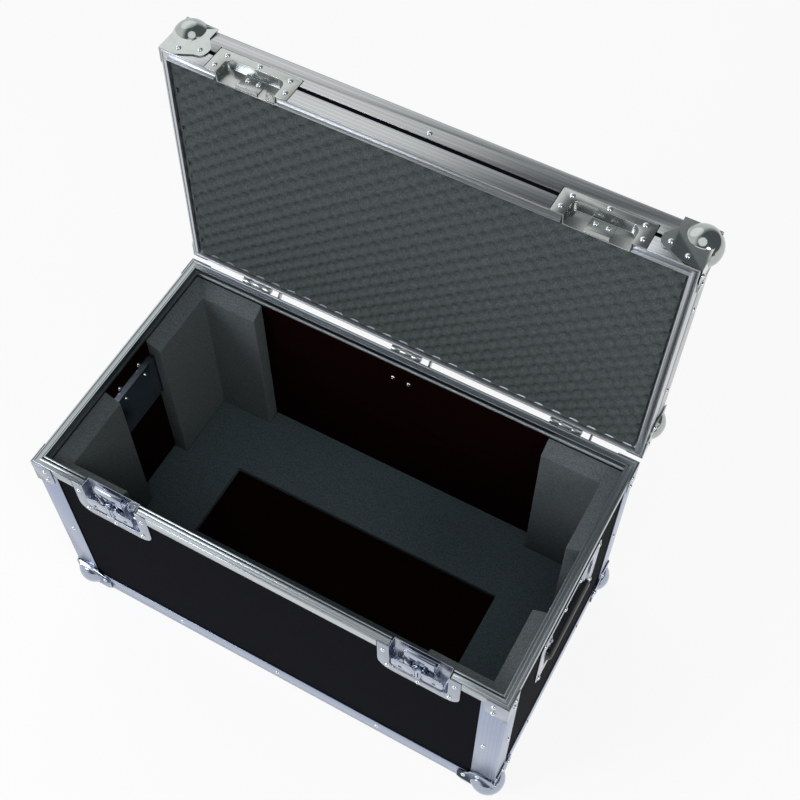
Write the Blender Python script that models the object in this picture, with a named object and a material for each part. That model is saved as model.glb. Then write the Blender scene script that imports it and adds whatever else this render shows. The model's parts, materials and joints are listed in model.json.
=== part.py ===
# Flight case for an amplifier head.
# Plywood panels held in aluminium edging, a lid on three rolled hinges, two butterfly latches,
# two sprung end handles, pressed steel ball corners and cut foam inside.
# Metres, +Z up. The front faces -Y. The origin is the middle of the floor panel's underside.
# The lid stands open, resting on the stop lugs of its hinges.

import math

import bmesh
import bpy
from mathutils import Matrix, Vector

# Overall sizes of the body
WIDTH = 0.640
DEPTH = 0.350
BASE_HEIGHT = 0.320
LID_HEIGHT = 0.056
LID_OPEN_ANGLE = math.radians(92.0)

# Clearances
GAP = 0.0003
MATING_GAP = 0.0003

# Panels and edging
PLY = 0.009
FLOOR_BOARD = 0.015
METAL = 0.0012
LEG_INNER = 0.014
RIM_FLANGE = 0.0155
LID_RIM_FLANGE = 0.0205
WEB_TOP = 0.0007
WEB_UNDER = 0.0021
GROOVE_START = 0.0082
GROOVE_WIDTH = 0.0018
GROOVE_DEPTH = 0.0040
TONGUE_RISE = 0.0026
LID_TONGUE_WIDTH = 0.0010
LID_TONGUE_DROP = 0.0033
BOTTOM_LEG = 0.0345
CORNER_LEG = 0.0325
LID_TOP_LEG = 0.030
EDGE_ROUND = 0.0025

# Ball corners and rim braces
BALL_RADIUS = 0.023
BALL_PROUD = 0.010
SHEET = 0.0015
BALL_LEG = 0.050
BALL_LEG_WIDTH = 0.034
LID_PLATE_LEG = 0.040
LID_PLATE_WIDTH = 0.027
BRACE_WIDTH = 0.027
BRACE_DROP = 0.042
BRACE_ROUND = 0.012
SCALLOP_REACH = 0.0505
SCALLOP_SHOULDER = 0.016
SCALLOP_NOTCH = 0.029
SCALLOP_NOTCH_RISE = 0.0045
LOBE_RADIUS = 0.0105
LOBE_DROP = 0.036
FOOT_LOBE = 0.018

# Latches
LATCH_CLEAR = 0.0075
PLATE_WIDTH = 0.106
PLATE_DROP = 0.0675
LID_PLATE_RISE = 0.036
PLATE_ROUND = 0.018
TRAY_WIDTH = 0.075
TRAY_DROP = 0.054
LID_TRAY_RISE = 0.025
TRAY_ROUND = 0.009
TRAY_DEPTH = 0.013
TRAY_DRAFT = 0.001
KNOB_DROP = 0.026
BOSS_RADIUS = 0.012
BOSS_FRONT = 0.0016
BOSS_BACK = 0.0009
SHAFT_RADIUS = 0.004
WING_REACH = 0.033
WING_SHEET = 0.0015
WING_UP = 0.009
WING_DOWN = 0.011
WING_ROUND = 0.006
WING_HOLE = 0.0025
WING_HOLE_OFFSET = 0.0215
WING_PIN_OFFSET = 0.0036
WING_BARREL = 0.0016
WING_NECK = 0.0030
EAR = 0.0015
HOOK_WIDTH = 0.0378
HOOK_DOWN = 0.040
HOOK_FOLD = 0.00075
HOOK_IN = 0.0035
HOOK_TRAVEL_DOWN = 0.005
LIP_REACH = 0.0028
KEEPER_WIDTH = 0.028
KEEPER_LIP_LOW = 0.0012
KEEPER_RISE = 0.022
BRIDGE_DROP = 0.046
BRIDGE_TOP = 0.008
LUG_SIZE = 0.011
LUG_HOLE = 0.0032
LUG_OFFSET = 0.030

# End handles
HANDLE_DROP = 0.091
HANDLE_PLATE = (0.165, 0.113)
HANDLE_TRAY = (0.130, 0.085)
HANDLE_DEPTH = 0.016
HANDLE_DRAFT = 0.003
HANDLE_PLATE_ROUND = 0.012
HANDLE_TRAY_ROUND = 0.016
ROD_RADIUS = 0.004
BAIL_SPREAD = 0.100
BAIL_DROP = 0.052
BAIL_PIVOT_RISE = 0.030
BAIL_PIVOT_DEPTH = 0.0045
BAIL_BEND = 0.008
EYE_RADIUS = 0.0070
EYE_SHEET = 0.0025
GRIP_LENGTH = 0.115
GRIP_RADIUS = 0.0105

# Hinges
HINGE_CLEAR = 0.0115
HINGE_OFFSET = 0.0045
BARREL_LENGTH = 0.042
BARREL_RADIUS = 0.004
PIN_RADIUS = 0.002
PIN_HEAD = 0.0006
LEAF = 0.0016
LEAF_WIDTH = 0.072
LEAF_REACH = 0.030
LEAF_START = 0.005
MIDDLE_KNUCKLE = 0.017
STOP_OFFSET = 0.033
STOP_WIDTH = 0.0025
STOP_REACH = 0.008

# Foam
FOAM_FRAME = 0.012
FOAM_HOLE = (0.414, 0.114)
PAD = 0.021
PAD_END_LENGTH = 0.120
PAD_SIDE_REACH = 0.112
PAD_TOP_DROP = 0.017
PAD_CHAMFER_DROP = 0.012

# Sizes that follow from the ones above
SKIN = METAL + GAP
WALL_INNER = SKIN + PLY
LEG_FACE = WALL_INNER + GAP
RIM_THICKNESS = LEG_FACE + METAL
GROOVE_END = GROOVE_START + GROOVE_WIDTH
RIM_ROOT = GROOVE_DEPTH + METAL
LID_ROOT = TONGUE_RISE + GAP
PANEL_TOP = BASE_HEIGHT - RIM_ROOT - GAP
BALL_INSET = BALL_RADIUS - BALL_PROUD
UNDERSIDE = SKIN
LATCH_X = WIDTH / 2 - SCALLOP_REACH - LATCH_CLEAR - PLATE_WIDTH / 2
HINGE_PITCH = WIDTH / 2 - SCALLOP_REACH - HINGE_CLEAR - LEAF_WIDTH / 2
TRAY_BACK = TRAY_DEPTH + METAL
CUT_HALF = TRAY_WIDTH / 2 + METAL + 2 * GAP
FOAM_CUT_DEPTH = TRAY_BACK + GAP
PLATE_CUT_HALF = PLATE_WIDTH / 2 + 2 * GAP


for old in list(bpy.data.objects):
    bpy.data.objects.remove(old, do_unlink=True)


def collection_link(item):
    bpy.context.scene.collection.objects.link(item)
    return item


def empty(name, parent=None, at=(0.0, 0.0, 0.0), turn=(0.0, 0.0, 0.0)):
    item = bpy.data.objects.new(name, None)
    item.parent = parent
    item.location = at
    item.rotation_euler = turn
    return collection_link(item)


def paint(item, colour, roughness, metallic):
    material = bpy.data.materials.new(item.name + "_finish")
    material.use_nodes = True
    shader = material.node_tree.nodes["Principled BSDF"]
    shader.inputs["Base Color"].default_value = (*colour, 1.0)
    shader.inputs["Roughness"].default_value = roughness
    shader.inputs["Metallic"].default_value = metallic
    item.data.materials.clear()
    item.data.materials.append(material)


def aluminium(item):
    paint(item, (0.62, 0.64, 0.67), 0.35, 1.0)


def zinc_plate(item):
    paint(item, (0.70, 0.72, 0.74), 0.22, 1.0)


def laminate(item):
    paint(item, (0.012, 0.014, 0.018), 0.55, 0.0)


def foam(item):
    paint(item, (0.030, 0.040, 0.043), 0.95, 0.0)


def rubber(item):
    paint(item, (0.015, 0.015, 0.015), 0.6, 0.0)


def to_mesh(name, bm):
    bmesh.ops.recalc_face_normals(bm, faces=bm.faces)
    mesh = bpy.data.meshes.new(name)
    bm.to_mesh(mesh)
    bm.free()
    return mesh


def solid(name, mesh, finish, parent, at=(0.0, 0.0, 0.0), turn=(0.0, 0.0, 0.0), smooth=False):
    item = bpy.data.objects.new(name, mesh)
    item.parent = parent
    item.location = at
    item.rotation_euler = turn
    collection_link(item)
    finish(item)
    if smooth:
        mesh.shade_smooth()
        mesh.set_sharp_from_angle(angle=math.radians(40))
    return item


def cutter(name, mesh, parent, at=(0.0, 0.0, 0.0), turn=(0.0, 0.0, 0.0)):
    item = bpy.data.objects.new(name, mesh)
    item.parent = parent
    item.location = at
    item.rotation_euler = turn
    item.hide_render = True
    item.display_type = "WIRE"
    return collection_link(item)


def boolean(item, other, operation="DIFFERENCE"):
    step = item.modifiers.new(operation.lower(), "BOOLEAN")
    step.operation = operation
    step.solver = "EXACT"
    step.object = other


def baked(item, helpers=()):
    # The shape that the modifiers give, as a plain mesh, with the working objects removed.
    graph = bpy.context.evaluated_depsgraph_get()
    mesh = bpy.data.meshes.new_from_object(item.evaluated_get(graph))
    for used in (item, *helpers):
        bpy.data.objects.remove(used, do_unlink=True)
    return mesh


def main_body(mesh):
    # Keeps the largest connected piece, without the slivers that a cut leaves loose.
    bm = bmesh.new()
    bm.from_mesh(mesh)
    left = set(bm.faces)
    groups = []
    while left:
        group = set()
        reach = [left.pop()]
        while reach:
            face = reach.pop()
            group.add(face)
            near = {other for edge in face.edges for other in edge.link_faces} & left
            left -= near
            reach += near
        groups.append(group)
    keep = max(groups, key=len)
    bmesh.ops.delete(bm, geom=[face for face in bm.faces if face not in keep], context="FACES")
    bm.to_mesh(mesh)
    bm.free()
    return mesh


def placed(mesh, matrix):
    # A copy of a mesh turned or mirrored by a matrix, with its faces still pointing out.
    copy = mesh.copy()
    copy.transform(matrix)
    if matrix.determinant() < 0:
        copy.flip_normals()
    return copy


def spot(plane, a, b, c):
    if plane == "XY":
        return (a, b, c)
    if plane == "XZ":
        return (a, c, b)
    return (c, a, b)


def add_prism(bm, outline, plane, low, high):
    near = [bm.verts.new(spot(plane, a, b, low)) for a, b in outline]
    far = [bm.verts.new(spot(plane, a, b, high)) for a, b in outline]
    bm.faces.new(near)
    bm.faces.new(list(reversed(far)))
    count = len(outline)
    for index in range(count):
        after = (index + 1) % count
        bm.faces.new((near[index], far[index], far[after], near[after]))


def prism(name, outline, plane, low, high):
    bm = bmesh.new()
    add_prism(bm, outline, plane, low, high)
    return to_mesh(name, bm)


def box_outline(low_a, high_a, low_b, high_b):
    return [(low_a, low_b), (high_a, low_b), (high_a, high_b), (low_a, high_b)]


def block(name, x, y, z):
    return prism(name, box_outline(*x, *y), "XY", *z)


def arc(centre, radius, start, end, steps):
    # Points along a round stretch, its angles in degrees.
    points = []
    for index in range(steps + 1):
        angle = math.radians(start + (end - start) * index / steps)
        points.append((centre[0] + radius * math.cos(angle), centre[1] + radius * math.sin(angle)))
    return points


def rounded_rectangle(width, height, radius, steps=3):
    across = width / 2 - radius
    up = height / 2 - radius
    points = arc((across, up), radius, 0, 90, steps)
    points += arc((-across, up), radius, 90, 180, steps)
    points += arc((-across, -up), radius, 180, 270, steps)
    points += arc((across, -up), radius, 270, 360, steps)
    return points


def u_outline(half, reach, radius, way, steps=4):
    # A U open at z = 0 whose round corners lie at reach above (way 1) or below (way -1).
    points = [(-half, 0.0)]
    points += [(a, way * b) for a, b in arc((-half + radius, reach - radius), radius, 180, 90, steps)]
    points += [(a, way * b) for a, b in arc((half - radius, reach - radius), radius, 90, 0, steps)]
    points.append((half, 0.0))
    return points


def frame_ring(name, outline):
    # An extrusion run round the case with mitred corners; outline is (depth in, height).
    bm = bmesh.new()
    loops = []
    for way_x, way_y in ((-1, -1), (1, -1), (1, 1), (-1, 1)):
        loop = [bm.verts.new((way_x * (WIDTH / 2 - n), way_y * (DEPTH / 2 - n), z)) for n, z in outline]
        loops.append(loop)
    count = len(outline)
    for loop, beyond in zip(loops, loops[1:] + loops[:1]):
        for index in range(count):
            after = (index + 1) % count
            bm.faces.new((loop[index], beyond[index], beyond[after], loop[after]))
    return to_mesh(name, bm)


def lathe(bm, profile, axis_point, direction, steps):
    # A closed turned body: profile is (radius, distance along the axis), first and last on the axis.
    turn = Vector((0, 0, 1)).rotation_difference(Vector(direction)).to_matrix()
    rings = []
    for radius, along in profile:
        ring = []
        count = 1 if radius == 0 else steps
        for index in range(count):
            angle = 2 * math.pi * (index + 0.5) / steps
            local = Vector((radius * math.cos(angle), radius * math.sin(angle), along))
            ring.append(bm.verts.new(Vector(axis_point) + turn @ local))
        rings.append(ring)
    for low, high in zip(rings, rings[1:]):
        for index in range(steps):
            after = (index + 1) % steps
            if len(low) == 1:
                bm.faces.new((low[0], high[index], high[after]))
            elif len(high) == 1:
                bm.faces.new((low[index], high[0], low[after]))
            else:
                bm.faces.new((low[index], high[index], high[after], low[after]))


# Frames that carry the pieces
body_frame = empty("body_frame", at=(0.0, 0.0, -UNDERSIDE))
hinge_axis = empty("lid_hinge_axis", body_frame, (0.0, DEPTH / 2 + HINGE_OFFSET, BASE_HEIGHT),
                   (-LID_OPEN_ANGLE, 0.0, 0.0))
lid_frame = empty("lid_frame", hinge_axis, (0.0, -DEPTH / 2 - HINGE_OFFSET, MATING_GAP))

SIDES = {
    "front": ((0.0, -DEPTH / 2), 0.0),
    "right": ((WIDTH / 2, 0.0), 90.0),
    "back": ((0.0, DEPTH / 2), 180.0),
    "left": ((-WIDTH / 2, 0.0), -90.0),
}
base_sides = {}
for side, ((side_x, side_y), side_turn) in SIDES.items():
    facing = (0.0, 0.0, math.radians(side_turn))
    base_sides[side] = empty("base_side_" + side, body_frame, (side_x, side_y, 0.0), facing)
lid_front = empty("lid_side_front", lid_frame, (0.0, -DEPTH / 2, 0.0))


# Plywood panels. The front and back run the full width and the ends fit between them.
def notched_outline(half, low, high, notch_half, notch_to, centres):
    # A rectangle with a notch for each latch tray, cut from its mating edge.
    edge, other = (high, low) if notch_to < high and notch_to > (low + high) / 2 else (low, high)
    points = [(-half, other), (-half, edge)]
    for centre in centres:
        points += [(centre - notch_half, edge), (centre - notch_half, notch_to)]
        points += [(centre + notch_half, notch_to), (centre + notch_half, edge)]
    points += [(half, edge), (half, other)]
    return points


PANEL_HALF = WIDTH / 2 - SKIN
END_HALF = DEPTH / 2 - WALL_INNER - GAP
TRAY_CUT_LOW = BASE_HEIGHT - TRAY_DROP - METAL - 2 * GAP
front_outline = notched_outline(PANEL_HALF, SKIN, PANEL_TOP, CUT_HALF, TRAY_CUT_LOW, (-LATCH_X, LATCH_X))
solid("front_panel", prism("front_panel", front_outline, "XZ", SKIN, WALL_INNER), laminate,
      base_sides["front"])
back_outline = box_outline(-PANEL_HALF, PANEL_HALF, SKIN, PANEL_TOP)
solid("back_panel", prism("back_panel", back_outline, "XZ", SKIN, WALL_INNER), laminate,
      base_sides["back"])

HANDLE_Z = BASE_HEIGHT - HANDLE_DROP
handle_cut = rounded_rectangle(HANDLE_TRAY[0] + 2 * METAL + 4 * GAP, HANDLE_TRAY[1] + 2 * METAL + 4 * GAP,
                               HANDLE_TRAY_ROUND)
handle_cut_mesh = prism("handle_cut", handle_cut, "XZ", -METAL, 2 * PLY)
for side in ("left", "right"):
    end_outline = box_outline(-END_HALF, END_HALF, SKIN, PANEL_TOP)
    panel = solid(side + "_panel", prism(side + "_panel", end_outline, "XZ", SKIN, WALL_INNER), laminate,
                  base_sides[side])
    boolean(panel, cutter("handle_opening_" + side, handle_cut_mesh, base_sides[side],
                          (0.0, 0.0, HANDLE_Z)))

INSIDE_X = WIDTH / 2 - WALL_INNER - GAP
INSIDE_Y = DEPTH / 2 - WALL_INNER - GAP
FLOOR_TOP = SKIN + PLY
BOARD_TOP = FLOOR_TOP + GAP + FLOOR_BOARD
solid("floor_panel", block("floor_panel", (-INSIDE_X, INSIDE_X), (-INSIDE_Y, INSIDE_Y), (SKIN, FLOOR_TOP)),
      laminate, body_frame)
solid("floor_board", block("floor_board", (-INSIDE_X, INSIDE_X), (-INSIDE_Y, INSIDE_Y),
                           (FLOOR_TOP + GAP, BOARD_TOP)), laminate, body_frame)

LID_TOP_UNDER = LID_HEIGHT - SKIN - PLY
lid_wall_low = LID_ROOT + METAL + GAP
lid_wall_high = LID_HEIGHT - SKIN
LID_CUT_HIGH = LID_TRAY_RISE + METAL + 2 * GAP
solid("lid_top_panel", block("lid_top_panel", (-INSIDE_X, INSIDE_X), (-INSIDE_Y, INSIDE_Y),
                             (LID_TOP_UNDER, LID_HEIGHT - SKIN)), laminate, lid_frame)
lid_wall_outline = box_outline(SKIN, WALL_INNER, lid_wall_low, lid_wall_high)
lid_walls = solid("lid_walls", frame_ring("lid_walls", lid_wall_outline), laminate, lid_frame)
lid_notch = block("lid_notch", (-CUT_HALF, CUT_HALF), (-METAL, 2 * TRAY_DEPTH), (-METAL, LID_CUT_HIGH))
for name, way in (("left", -1), ("right", 1)):
    boolean(lid_walls, cutter("lid_notch_" + name, lid_notch, lid_front, (way * LATCH_X, 0.0, 0.0)))


# Tongue and groove rims. Points are (depth in from the face, height above the mating plane).
LIP = 0.0005
CHANNEL_START = 0.0026
CHANNEL_END = 0.0062
INNER_LIP = 0.0068
WEB_END = GROOVE_START - METAL
RIB_DEPTH = 0.0003
RIB_PITCH = 0.0020
RIB_FIRST = 0.0064
TONGUE_ROUND = 0.0004

base_rim = [
    (0.0, -RIM_FLANGE), (0.0, -LIP), (LIP, 0.0), (CHANNEL_START - LIP, 0.0),
    (CHANNEL_START, -WEB_TOP), (CHANNEL_END, -WEB_TOP), (INNER_LIP, 0.0), (GROOVE_START, 0.0),
    (GROOVE_START, -GROOVE_DEPTH), (GROOVE_END, -GROOVE_DEPTH),
    (GROOVE_END, TONGUE_RISE - TONGUE_ROUND), (GROOVE_END + TONGUE_ROUND, TONGUE_RISE),
    (RIM_THICKNESS - TONGUE_ROUND, TONGUE_RISE), (RIM_THICKNESS, TONGUE_RISE - TONGUE_ROUND),
]
for rib in range(3):
    groove_z = -RIB_FIRST - rib * RIB_PITCH
    base_rim += [(RIM_THICKNESS, groove_z), (RIM_THICKNESS - RIB_DEPTH, groove_z - RIB_DEPTH),
                 (RIM_THICKNESS - RIB_DEPTH, groove_z - 2 * RIB_DEPTH),
                 (RIM_THICKNESS, groove_z - 3 * RIB_DEPTH)]
base_rim += [
    (RIM_THICKNESS, -LEG_INNER), (LEG_FACE, -LEG_INNER), (LEG_FACE, -RIM_ROOT),
    (WEB_END, -RIM_ROOT), (WEB_END, -WEB_UNDER), (METAL, -WEB_UNDER), (METAL, -RIM_FLANGE),
]

LID_TONGUE_START = GROOVE_START + GAP
LID_TONGUE_END = LID_TONGUE_START + LID_TONGUE_WIDTH
LID_RIM_TOP = LID_ROOT + METAL
lid_rim = [
    (0.0, LID_RIM_FLANGE), (0.0, LIP), (LIP, 0.0), (CHANNEL_START - LIP, 0.0),
    (CHANNEL_START, WEB_TOP), (LID_TONGUE_START, WEB_TOP),
    (LID_TONGUE_START, -LID_TONGUE_DROP), (LID_TONGUE_END, -LID_TONGUE_DROP),
    (LID_TONGUE_END, LID_ROOT), (RIM_THICKNESS, LID_ROOT), (RIM_THICKNESS, LEG_INNER),
    (LEG_FACE, LEG_INNER), (LEG_FACE, LID_RIM_TOP), (LID_TONGUE_START - METAL, LID_RIM_TOP),
    (LID_TONGUE_START - METAL, WEB_UNDER), (METAL, WEB_UNDER), (METAL, LID_RIM_FLANGE),
]

through_cut = block("tray_cut", (-CUT_HALF, CUT_HALF), (-METAL, 2 * TRAY_DEPTH),
                    (-2 * RIM_FLANGE, 2 * LID_RIM_FLANGE))
face_cut = block("plate_cut", (-PLATE_CUT_HALF, PLATE_CUT_HALF), (-METAL, SKIN),
                 (-2 * RIM_FLANGE, LID_PLATE_RISE + GAP))


def latch_cuts(item, tag, parent, height):
    for name, way in (("left", -1), ("right", 1)):
        place = (way * LATCH_X, 0.0, height)
        boolean(item, cutter(tag + "_tray_cut_" + name, through_cut, parent, place))
        boolean(item, cutter(tag + "_plate_cut_" + name, face_cut, parent, place))


middle_cut = block("middle_cut", (-LATCH_X, LATCH_X), (-METAL, 2 * TRAY_DEPTH),
                   (-2 * RIM_FLANGE, 2 * LID_RIM_FLANGE))
for tag, outline, frame, front, height in (("base", base_rim, body_frame, base_sides["front"], BASE_HEIGHT),
                                           ("lid", lid_rim, lid_frame, lid_front, 0.0)):
    rim = solid(tag + "_rim", frame_ring(tag + "_rim", outline), aluminium, frame, (0.0, 0.0, height))
    boolean(rim, cutter(tag + "_middle_cut", middle_cut, front, (0.0, 0.0, height)))
    latch_cuts(rim, tag + "_rim", front, height)
    bar = solid(tag + "_front_rim", prism(tag + "_front_rim", outline, "YZ", -LATCH_X, LATCH_X), aluminium,
                front, (0.0, 0.0, height))
    latch_cuts(bar, tag + "_front_rim", front, height)


# Angles along the bottom edges, the upright corners and the lid's top edges
def angle_outline(face_leg, flat_leg, way, level):
    # An L with a rounded outer corner; its flat leg lies at level and its face leg runs up or down.
    corner = arc((EDGE_ROUND, EDGE_ROUND), EDGE_ROUND, 180, 270, 2)
    points = [(METAL, face_leg), (0.0, face_leg)] + corner
    points += [(flat_leg, 0.0), (flat_leg, METAL), (METAL, METAL)]
    return [(n, level + way * z) for n, z in points]


solid("bottom_angles", frame_ring("bottom_angles", angle_outline(BOTTOM_LEG, BOTTOM_LEG, 1, 0.0)), aluminium,
      body_frame)
top_angles = solid("lid_top_angles", frame_ring("lid_top_angles", angle_outline(LID_TOP_LEG, LID_TOP_LEG, -1,
                                                                                LID_HEIGHT)),
                   aluminium, lid_frame)
for name, way in (("left", -1), ("right", 1)):
    boolean(top_angles, cutter("lid_angle_cut_" + name, face_cut, lid_front, (way * LATCH_X, 0.0, 0.0)))

upright = [(METAL, CORNER_LEG), (0.0, CORNER_LEG)] + arc((EDGE_ROUND, EDGE_ROUND), EDGE_ROUND, 180, 270, 2)
upright += [(CORNER_LEG, 0.0), (CORNER_LEG, METAL), (METAL, METAL)]
upright_mesh = prism("corner_angle", upright, "XY", BOTTOM_LEG + GAP, BASE_HEIGHT - RIM_FLANGE - GAP)

CORNERS = {
    "front_left": (-1, -1),
    "front_right": (1, -1),
    "back_left": (-1, 1),
    "back_right": (1, 1),
}


def corner_matrix(corner, height, up):
    # Takes a shape drawn in from a corner along +X, +Y and +Z to one corner of the case.
    way_x, way_y = CORNERS[corner]
    place = Matrix.Translation((way_x * WIDTH / 2, way_y * DEPTH / 2, height))
    return place @ Matrix.Diagonal((-way_x, -way_y, up, 1.0))


for corner in CORNERS:
    solid("corner_angle_" + corner, placed(upright_mesh, corner_matrix(corner, 0.0, 1)), aluminium,
          body_frame)


# Pressed ball corners, drawn at a corner whose faces look along -X, -Y and -Z
def leg_outline(leg, width):
    edge = -GAP - SHEET
    bend = min(width / 4, (leg - width) / 2 - 2 * GAP)
    points = [(edge, edge), (leg - bend, edge), (leg, edge + bend)]
    points += arc((leg - bend, width - bend), bend, 0, 90, 2)
    points += [(width + bend, width), (width, width + bend)]
    points += arc((width - bend, leg - bend), bend, 0, 90, 2)
    points += [(edge + bend, leg), (edge, leg - bend)]
    return points


def scallop_outline():
    # The lid corner's side plate: u in from the corner, w down from the lid's top, with two lobes.
    edge = -GAP - SHEET
    foot = LID_HEIGHT - GAP
    outer_lobe = (SCALLOP_REACH - LOBE_RADIUS, LOBE_DROP)
    points = [(edge, edge), (LID_PLATE_LEG, edge), (LID_PLATE_LEG, SCALLOP_SHOULDER)]
    points += [(SCALLOP_REACH, LOBE_DROP - LOBE_RADIUS * 2 / 3)]
    points += arc(outer_lobe, LOBE_RADIUS, 0, 100, 3)
    points += [(SCALLOP_NOTCH, foot - SCALLOP_NOTCH_RISE)]
    points += arc((FOOT_LOBE, foot - LOBE_RADIUS), LOBE_RADIUS, 50, 90, 1)
    points += [(edge, foot)]
    return points


def ball_corner(name, flat_outline, side_outline):
    bm = bmesh.new()
    centre = (BALL_INSET, BALL_INSET, BALL_INSET)
    bmesh.ops.create_uvsphere(bm, u_segments=16, v_segments=10, radius=BALL_RADIUS,
                              matrix=Matrix.Translation(centre))
    ball = collection_link(bpy.data.objects.new(name, to_mesh(name, bm)))
    inside = bmesh.new()
    bmesh.ops.create_uvsphere(inside, u_segments=10, v_segments=6, radius=BALL_RADIUS - SHEET,
                              matrix=Matrix.Translation(centre))
    hollow = cutter(name + "_hollow", to_mesh("hollow", inside), None)
    size = 3 * BALL_RADIUS
    room = block("room", (-GAP, size), (-GAP, size), (-GAP, size))
    shaped = bmesh.new()
    shaped.from_mesh(room)
    low_edges = [edge for edge in shaped.edges
                 if all(vert.co.z < 0 for vert in edge.verts)
                 and (all(vert.co.x < 0 for vert in edge.verts) or all(vert.co.y < 0 for vert in edge.verts))]
    bmesh.ops.bevel(shaped, geom=low_edges, offset=EDGE_ROUND * 0.55, segments=1, affect="EDGES")
    body = cutter(name + "_room", to_mesh("room", shaped), None)
    helpers = [hollow, body]
    outer = -GAP - SHEET
    for tag, outline, plane in (("flat", flat_outline, "XY"), ("front", side_outline, "XZ"),
                                ("end", side_outline, "YZ")):
        plate = cutter(name + "_" + tag, prism(tag, outline, plane, outer, -GAP), None)
        boolean(ball, plate, "UNION")
        helpers.append(plate)
    boolean(ball, hollow)
    boolean(ball, body)
    return main_body(baked(ball, helpers))


three_leg = leg_outline(BALL_LEG, BALL_LEG_WIDTH)
base_ball = ball_corner("ball", three_leg, three_leg)
lid_ball = ball_corner("lid_ball", leg_outline(LID_PLATE_LEG, LID_PLATE_WIDTH), scallop_outline())
for corner in CORNERS:
    solid("ball_corner_" + corner, placed(base_ball, corner_matrix(corner, 0.0, 1)), zinc_plate, body_frame,
          smooth=True)
    solid("lid_ball_corner_" + corner, placed(lid_ball, corner_matrix(corner, LID_HEIGHT, -1)), zinc_plate,
          lid_frame, smooth=True)

# Folded braces over the base rim's corners
brace_edge = -GAP - METAL
brace_outline = [(brace_edge, GAP), (BRACE_WIDTH, GAP)]
brace_outline += arc((BRACE_WIDTH - BRACE_ROUND, BRACE_DROP - BRACE_ROUND), BRACE_ROUND, 0, 90, 3)
brace_outline += [(brace_edge, BRACE_DROP)]
brace = collection_link(bpy.data.objects.new("brace", prism("brace", brace_outline, "XZ", brace_edge, -GAP)))
brace_end = cutter("brace_end", prism("brace_end", brace_outline, "YZ", brace_edge, -GAP), None)
boolean(brace, brace_end, "UNION")
brace_mesh = baked(brace, [brace_end])
for corner in CORNERS:
    solid("rim_brace_" + corner, placed(brace_mesh, corner_matrix(corner, BASE_HEIGHT, -1)), zinc_plate,
          body_frame)


# Latch trays: a flush plate pressed back into a dish that is open at the mating plane
def tray(name, plate, mouth, mouth_floor, outer, outer_floor, depth, closed):
    bm = bmesh.new()
    layers = ((plate, 0.0), (plate, METAL), (outer, METAL), (outer_floor, depth + METAL))
    loops = [[bm.verts.new((a, level, b)) for a, b in points] for points, level in layers]
    floor = [bm.verts.new((a, depth, b)) for a, b in mouth_floor]
    lip = [bm.verts.new((a, 0.0, b)) for a, b in mouth]
    pairs = list(zip(loops, loops[1:])) + [(floor, lip), (lip, loops[0])]
    count = len(plate)
    for first, second in pairs:
        for index in range(count if closed else count - 1):
            after = (index + 1) % count
            bm.faces.new((first[index], second[index], second[after], first[after]))
    bm.faces.new(loops[3])
    bm.faces.new(list(reversed(floor)))
    if not closed:
        start = [loop[0] for loop in loops]
        end = [loop[-1] for loop in reversed(loops)]
        bm.faces.new(start + end + [lip[-1], floor[-1], floor[0], lip[0]])
    return to_mesh(name, bm)


def latch_tray(name, plate_reach, tray_reach, way):
    half = TRAY_WIDTH / 2
    plate = u_outline(PLATE_WIDTH / 2, plate_reach, PLATE_ROUND if way < 0 else EDGE_ROUND, way)
    mouth = u_outline(half, tray_reach, TRAY_ROUND, way)
    mouth_floor = u_outline(half - TRAY_DRAFT, tray_reach - TRAY_DRAFT, TRAY_ROUND - TRAY_DRAFT, way)
    outer = u_outline(half + METAL, tray_reach + METAL, TRAY_ROUND + METAL, way)
    outer_floor = u_outline(half + METAL - TRAY_DRAFT, tray_reach + METAL - TRAY_DRAFT,
                            TRAY_ROUND + METAL - TRAY_DRAFT, way)
    return tray(name, plate, mouth, mouth_floor, outer, outer_floor, TRAY_DEPTH, False)


def padlock_eye(way):
    # A pierced tab folded out from the tray's floor beside the mating plane.
    half = LUG_SIZE / 2
    depth = TRAY_DEPTH + METAL / 2
    outline = [(-half, depth)] + arc((0.0, half + METAL), half, 180, 360, 6) + [(half, depth)]
    low = way * 2 * METAL
    high = way * METAL
    eye = cutter("eye", prism("eye", outline, "XY", min(low, high), max(low, high)), None)
    bm = bmesh.new()
    lathe(bm, [(0, -LUG_SIZE), (LUG_HOLE, -LUG_SIZE), (LUG_HOLE, LUG_SIZE), (0, LUG_SIZE)],
          (0.0, half + METAL, 0.0), (0, 0, 1), 8)
    hole = cutter("eye_hole", to_mesh("eye_hole", bm), None)
    boolean(eye, hole)
    return placed(baked(eye, [hole]), Matrix.Translation((LUG_OFFSET, 0.0, 0.0)))


# Latch mechanism. Depths run in from the face; the hook is drawn where it rests, up and out.
HOOK_FRONT = BOSS_BACK + GAP
HOOK_BACK = HOOK_FRONT + SHEET
BRIDGE_FACE = TRAY_DEPTH - METAL
BRIDGE_BACK = TRAY_DEPTH + METAL / 2
CHEEK_INNER = HOOK_WIDTH / 2 + GAP
KEEPER_LIP_TOP = MATING_GAP + KEEPER_LIP_LOW + SHEET
HOOK_LIP_LOW = KEEPER_LIP_TOP + GAP + HOOK_TRAVEL_DOWN
HOOK_LIP_TOP = HOOK_LIP_LOW + SHEET
HOOK_TIP = HOOK_BACK + LIP_REACH
KEEPER_TIP = HOOK_BACK + HOOK_FOLD + HOOK_IN + GAP
SLOT_HALF = SHAFT_RADIUS + GAP
WING_BACK = BOSS_FRONT + GAP
WING_PIN_DEPTH = WING_BACK + WING_BARREL
EAR_LOW = WING_UP + GAP
EAR_HALF = WING_PIN_OFFSET + WING_BARREL
RIB_HALF = WING_PIN_OFFSET - WING_BARREL - 2 * GAP


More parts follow.
